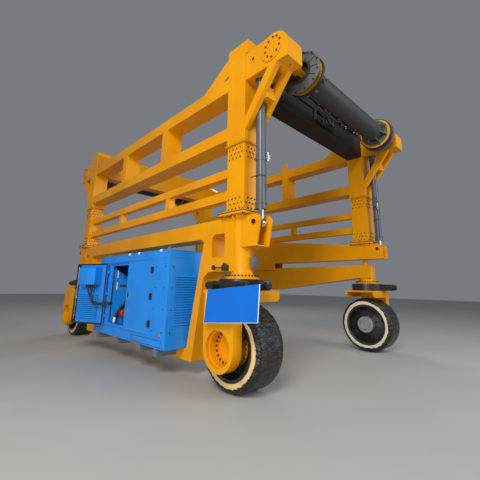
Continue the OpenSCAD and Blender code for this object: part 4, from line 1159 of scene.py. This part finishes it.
def dress_doors():
    """Handles, seals, louvres with painted shade in their gaps, clips and the latch rod of both doors."""
    face, inner = GEN_FACE, DOOR_INNER
    x = FRONT_DOOR_X + 0.075
    plate = block((x - 0.034, face - 0.008, 1.235), (x + 0.034, face, 1.365), 0.020, 4)
    grip = block((x - 0.020, face - 0.018, 1.262), (x + 0.022, face - 0.007, 1.330), 0.008, 3)
    key = rod((x + 0.004, face - 0.012, 1.348), (x + 0.004, face - 0.002, 1.348), 0.011, 0.001, 20)
    place(plate, "front_door_latch_plate", "front_door", "zinc")
    place(joined([grip, key]), "front_door_latch", "front_door", "black_bolt")

    seal = border(DOOR_X + 0.022, DOOR_X1 - 0.022, DOOR_Z0 + 0.022, DOOR_Z1 - 0.022, 0.034, 0.0038, 1)
    move(seal, (0, inner - 0.004, 0))
    free = block(
        (DOOR_X1 - 0.135, inner - 0.004, DOOR_Z0 + 0.030),
        (DOOR_X1 - 0.010, inner - 0.0015, DOOR_Z1 - 0.030), 0.001)
    swung(joined([seal, free]), "rear_door_seal", "rubber_and_shade")

    x, y = DOOR_X1 - 0.086, inner - 0.002
    parts = [rod((x, inner + 0.012, DOOR_Z0 + 0.085), (x, inner + 0.012, DOOR_Z1 - 0.085), 0.007, 0.001, 12)]
    parts.append(block((x - 0.035, y, 1.22), (x + 0.035, inner + 0.030, 1.38), 0.005))
    for z in (0.80, 1.05, 1.60, 1.85):
        parts.append(block((x - 0.018, y, z - 0.015), (x + 0.018, inner + 0.020, z + 0.015), 0.003))
    swung(joined(parts), "rear_door_latch", "zinc")

    z0, count = 0.745, 13
    blades = slats(DOOR_X + 0.180, DOOR_X + 0.800, z0, count, 1)
    swung(move(blades, (0, y, 0)), "rear_door_louvres", "door_blue")
    # Black blocks under the rear door's louvre blades: painted shade in the gaps between them.
    x0, x1 = DOOR_X + 0.184, DOOR_X + 0.796
    gap_shade_blocks = []
    for index in range(count):
        z = z0 + index * LOUVRE_PITCH
        gap_shade_blocks.append(block((x0, inner - 0.004, z - 0.011), (x1, inner + 0.002, z), 0))
    swung(joined(gap_shade_blocks), "rear_door_louvre_gap_shade", "rubber_and_shade")

    rim = border(DOOR_X + 0.124, DOOR_X1 - 0.148, DOOR_Z0 + 0.084, DOOR_Z1 - 0.084, 0.016, 0.010, 1)
    swung(move(rim, (0, y, 0)), "rear_door_rim", "door_blue")

    x0, x1, clips, end_gap = DOOR_X + 0.046, DOOR_X + 0.062, 40, 0.045
    teeth = []
    for index in range(clips):
        z = DOOR_Z0 + end_gap + index * (DOOR_Z1 - DOOR_Z0 - 2 * end_gap) / (clips - 1)
        teeth.append(block((x0, inner - 0.0035, z - 0.009), (x1, inner - 0.0002, z + 0.009), 0))
    swung(joined(teeth), "rear_door_clips", "zinc")


def dress_control_box():
    """Lid and cable glands of the control box."""
    box_z, front = 1.490, DOOR_INNER + 0.200
    lid = block((DOOR_X + 0.141, front - 0.002, box_z + 0.006), (DOOR_X + 0.634, front + 0.006, 1.859), 0.004)
    swung(lid, "control_box_lid", "door_blue")
    glands = []
    for x in (0.23, 0.29, 0.345, 0.40, 0.46):
        at = Vector((DOOR_X + x, DOOR_INNER + 0.110, box_z))
        glands.append(rod(at, at - Vector((0, 0, 0.022)), 0.022, 0.002, 6))
        glands.append(rod(at - Vector((0, 0, 0.020)), at - Vector((0, 0, 0.075)), 0.018, 0.004, 16))
    swung(joined(glands), "cable_glands", "rubber_and_shade")


def control_cable():
    """Two cables from the control box's glands over the hinge into the doorway."""
    for index, x in enumerate((0.40, 0.29)):
        drop = 0.030 * index
        over_hinge = on_rear_door(0.11, 0.120, 1.095 - drop)
        entry = Vector((DOOR_X + 0.095, -GEN_Y - 0.012, 1.100 - drop))
        knots = [
            on_rear_door(x, 0.110, 1.425),
            on_rear_door(x - 0.01, 0.112, 1.36),
            on_rear_door(0.325 - 0.020 * index, 0.118, 1.25 - drop / 2),
            on_rear_door(0.215, 0.120, 1.135 - drop),
            over_hinge,
            Vector((DOOR_X + 0.030, -HINGE_Y - 0.075, 1.090 - drop)),
            entry,
            Vector((DOOR_X + 0.098, -GEN_Y + 0.070, 1.098 - drop)),
            Vector((DOOR_X + 0.060, -GEN_Y + 0.105, 1.095 - drop)),
        ]
        cable = as_mesh(tube(knots, 0.017, "cable", 10))
        piece = place(cable, f"control_cable_{index + 1}", None, "rubber_and_shade")
        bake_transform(piece)


def dress_sign():
    """Pale edges and screws of the blank sign."""
    width, height = SIGN_SIZE
    bars = [
        block((width - 0.013, -0.003, 0), (width, 0, height), 0.001),
        block((0, -0.003, 0), (0.005, 0, height), 0.001),
        block((0, -0.003, 0), (width, 0, 0.005), 0.001),
    ]
    screws = spread(socket_screw(0.014, 0.004), [
        (Vector((x, 0, z)), -ACROSS) for x in (0.04, width - 0.04) for z in (0.04, height - 0.04)])
    turned = Matrix.Rotation(-SIGN_TURN, 4, "Y") @ Matrix.Rotation(-SIGN_LEAN, 4, "X")
    hung = Matrix.Translation(SIGN_AT) @ turned
    for piece, name, finish in ((joined(bars), "sign_edge", "white"), (screws, "sign_screws", "zinc")):
        piece.data.transform(hung)
        place(piece, name, "steer_front_right", finish)


# Stage


def add_lamp(name, at, target, size, power, colour):
    """Square area light at a point, aimed at another."""
    lamp = bpy.data.lights.new(name, "AREA")
    lamp.size = size
    lamp.energy = power
    lamp.color = colour
    piece = bpy.data.objects.new(name, lamp)
    bpy.context.scene.collection.objects.link(piece)
    piece.location = at
    aim = Vector(target) - Vector(at)
    piece.rotation_euler = aim.to_track_quat("-Z", "Y").to_euler()


def build_stage():
    """Floor, lights and camera."""
    stage = settings()[3]
    settle()
    bpy.ops.mesh.primitive_plane_add(size=90, location=(0, 0, 0))
    floor = bpy.context.object
    floor.name = "studio_floor"
    floor.data.materials.append(FINISHES["floor"])

    world = bpy.data.worlds.new("sky")
    world.use_nodes = True
    sky = world.node_tree.nodes["Background"].inputs
    sky[0].default_value = (0.86, 0.92, 1.0, 1)
    sky[1].default_value = stage.sky
    bpy.context.scene.world = world

    fill = stage.fill_power
    add_lamp("key", (9.5, -12.0, 10.5), (1.0, -1.0, 2.6), 6.0, stage.key_power, (1.0, 0.96, 0.90))
    add_lamp("fill", (12.0, 3.0, 6.0), (2.0, 0.0, 3.0), 7.0, fill, (0.90, 0.95, 1.0))
    add_lamp("low", (6.5, -9.5, 1.4), (0.2, -2.6, 1.2), 2.0, fill * 0.48, (1.0, 0.98, 0.95))
    add_lamp("rear", (-9.0, 9.0, 11.0), (0.0, 0.0, 3.5), 8.0, fill * 0.8, (0.92, 0.96, 1.0))

    lens = bpy.data.cameras.new("camera")
    lens.lens = stage.lens
    lens.sensor_width = 36
    lens.shift_x = 0.0021
    lens.shift_y = -0.0542
    lens.clip_end = 200
    camera = bpy.data.objects.new("camera", lens)
    bpy.context.scene.collection.objects.link(camera)
    heading = Matrix.Rotation(math.radians(CAMERA_HEADING), 4, "Z")
    pitch = Matrix.Rotation(math.radians(90 + CAMERA_PITCH), 4, "X")
    roll = Matrix.Rotation(math.radians(CAMERA_ROLL), 4, "Z")
    camera.matrix_world = Matrix.Translation(CAMERA_AT) @ heading @ pitch @ roll
    bpy.context.scene.camera = camera
    bpy.context.scene.view_settings.view_transform = "Standard"


# Operators and panel


class CARRIER_OT_paint(bpy.types.Operator):
    """Give every CAD node its procedural finish"""

    bl_idname = "carrier.paint"
    bl_label = "Paint the nodes"

    def execute(self, context):
        paint_nodes()
        return {"FINISHED"}


class CARRIER_OT_stage(bpy.types.Operator):
    """Add the floor, the lights and the camera"""

    bl_idname = "carrier.stage"
    bl_label = "Stage"

    def execute(self, context):
        build_stage()
        return {"FINISHED"}


class CARRIER_OT_cable(bpy.types.Operator):
    """Add the two cables from the control box into the doorway"""

    bl_idname = "carrier.cable"
    bl_label = "Control cable"

    def execute(self, context):
        control_cable()
        return {"FINISHED"}


class CARRIER_OT_wheels(bpy.types.Operator):
    """Add casings, film, paper bands, ribs and hub bolts"""

    bl_idname = "carrier.wheels"
    bl_label = "Wheels"

    def execute(self, context):
        dress_wheels()
        return {"FINISHED"}


class CARRIER_OT_yokes(bpy.types.Operator):
    """Add bolts, covers and motor flanges to the fork arms"""

    bl_idname = "carrier.yokes"
    bl_label = "Fork arms"

    def execute(self, context):
        dress_yokes()
        return {"FINISHED"}


class CARRIER_OT_slewing(bpy.types.Operator):
    """Add flange bolts, worm caps and motors"""

    bl_idname = "carrier.slewing"
    bl_label = "Slewing drives"

    def execute(self, context):
        dress_slewing()
        return {"FINISHED"}


class CARRIER_OT_legs(bpy.types.Operator):
    """Add flange gaskets, the sensor plate and the grease block"""

    bl_idname = "carrier.legs"
    bl_label = "Legs"

    def execute(self, context):
        dress_legs()
        return {"FINISHED"}


class CARRIER_OT_sleeves(bpy.types.Operator):
    """Add the wear pads' and flanges' bolts"""

    bl_idname = "carrier.sleeves"
    bl_label = "Sleeves"

    def execute(self, context):
        dress_sleeves()
        return {"FINISHED"}


class CARRIER_OT_cylinders(bpy.types.Operator):
    """Add pin caps, rings, pipes, valves and straps"""

    bl_idname = "carrier.cylinders"
    bl_label = "Lift cylinders"

    def execute(self, context):
        dress_cylinders()
        return {"FINISHED"}


class CARRIER_OT_hoist(bpy.types.Operator):
    """Add the arms' and drums' bolts and the pins' rings"""

    bl_idname = "carrier.hoist"
    bl_label = "Hoist"

    def execute(self, context):
        dress_hoist()
        return {"FINISHED"}


class CARRIER_OT_drums(bpy.types.Operator):
    """Add the shells and gussets of the drums"""

    bl_idname = "carrier.drums"
    bl_label = "Drums"

    def execute(self, context):
        dress_drums()
        return {"FINISHED"}


class CARRIER_OT_beam(bpy.types.Operator):
    """Add pipes, hoses and fittings on the front cross beam"""

    bl_idname = "carrier.beam"
    bl_label = "Front cross beam"

    def execute(self, context):
        dress_beam()
        return {"FINISHED"}


class CARRIER_OT_canopy(bpy.types.Operator):
    """Add screws, roof cap, louvres, eyes, clips and seals"""

    bl_idname = "carrier.canopy"
    bl_label = "Canopy"

    def execute(self, context):
        dress_canopy()
        return {"FINISHED"}


class CARRIER_OT_inside(bpy.types.Operator):
    """Add what shows through the open doorway"""

    bl_idname = "carrier.inside"
    bl_label = "Generator inside"

    def execute(self, context):
        dress_inside()
        return {"FINISHED"}


class CARRIER_OT_doors(bpy.types.Operator):
    """Add latches, seals, louvres and clips"""

    bl_idname = "carrier.doors"
    bl_label = "Doors"

    def execute(self, context):
        dress_doors()
        return {"FINISHED"}


class CARRIER_OT_control_box(bpy.types.Operator):
    """Add the control box's lid and glands"""

    bl_idname = "carrier.control_box"
    bl_label = "Control box"

    def execute(self, context):
        dress_control_box()
        return {"FINISHED"}


class CARRIER_OT_sign(bpy.types.Operator):
    """Add the blank sign's edge and screws"""

    bl_idname = "carrier.sign"
    bl_label = "Sign"

    def execute(self, context):
        dress_sign()
        return {"FINISHED"}


OPERATORS = [
    CARRIER_OT_paint,
    CARRIER_OT_stage,
    CARRIER_OT_cable,
    CARRIER_OT_wheels,
    CARRIER_OT_yokes,
    CARRIER_OT_slewing,
    CARRIER_OT_legs,
    CARRIER_OT_sleeves,
    CARRIER_OT_cylinders,
    CARRIER_OT_hoist,
    CARRIER_OT_drums,
    CARRIER_OT_beam,
    CARRIER_OT_canopy,
    CARRIER_OT_inside,
    CARRIER_OT_doors,
    CARRIER_OT_control_box,
    CARRIER_OT_sign,
]


class CARRIER_PT_panel(bpy.types.Panel):
    """Steps of the dressing, in order"""

    bl_idname = "CARRIER_PT_panel"
    bl_label = "Straddle carrier"
    bl_space_type = "VIEW_3D"
    bl_region_type = "UI"
    bl_category = "Carrier"

    def draw(self, context):
        for group in settings():
            column = self.layout.column(align=True)
            for name in group.__class__.__annotations__:
                column.prop(group, name)
        for step in OPERATORS:
            self.layout.operator(step.bl_idname)


GROUPS = {
    "carrier_paint": PaintSettings, "carrier_wheels": WheelSettings, "carrier_fasteners": FastenerSettings,
    "carrier_stage": StageSettings,
}


def register():
    for name, group in GROUPS.items():
        bpy.utils.register_class(group)
        setattr(bpy.types.Scene, name, PointerProperty(type=group))
    for step in (*OPERATORS, CARRIER_PT_panel):
        bpy.utils.register_class(step)


def unregister():
    for step in reversed((*OPERATORS, CARRIER_PT_panel)):
        bpy.utils.unregister_class(step)
    for name, group in GROUPS.items():
        delattr(bpy.types.Scene, name)
        bpy.utils.unregister_class(group)


def main():
    """Run every step."""
    register()
    for step in OPERATORS:
        group, name = step.bl_idname.split(".")
        getattr(getattr(bpy.ops, group), name)()
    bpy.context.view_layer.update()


if __name__ == "__main__":
    main()
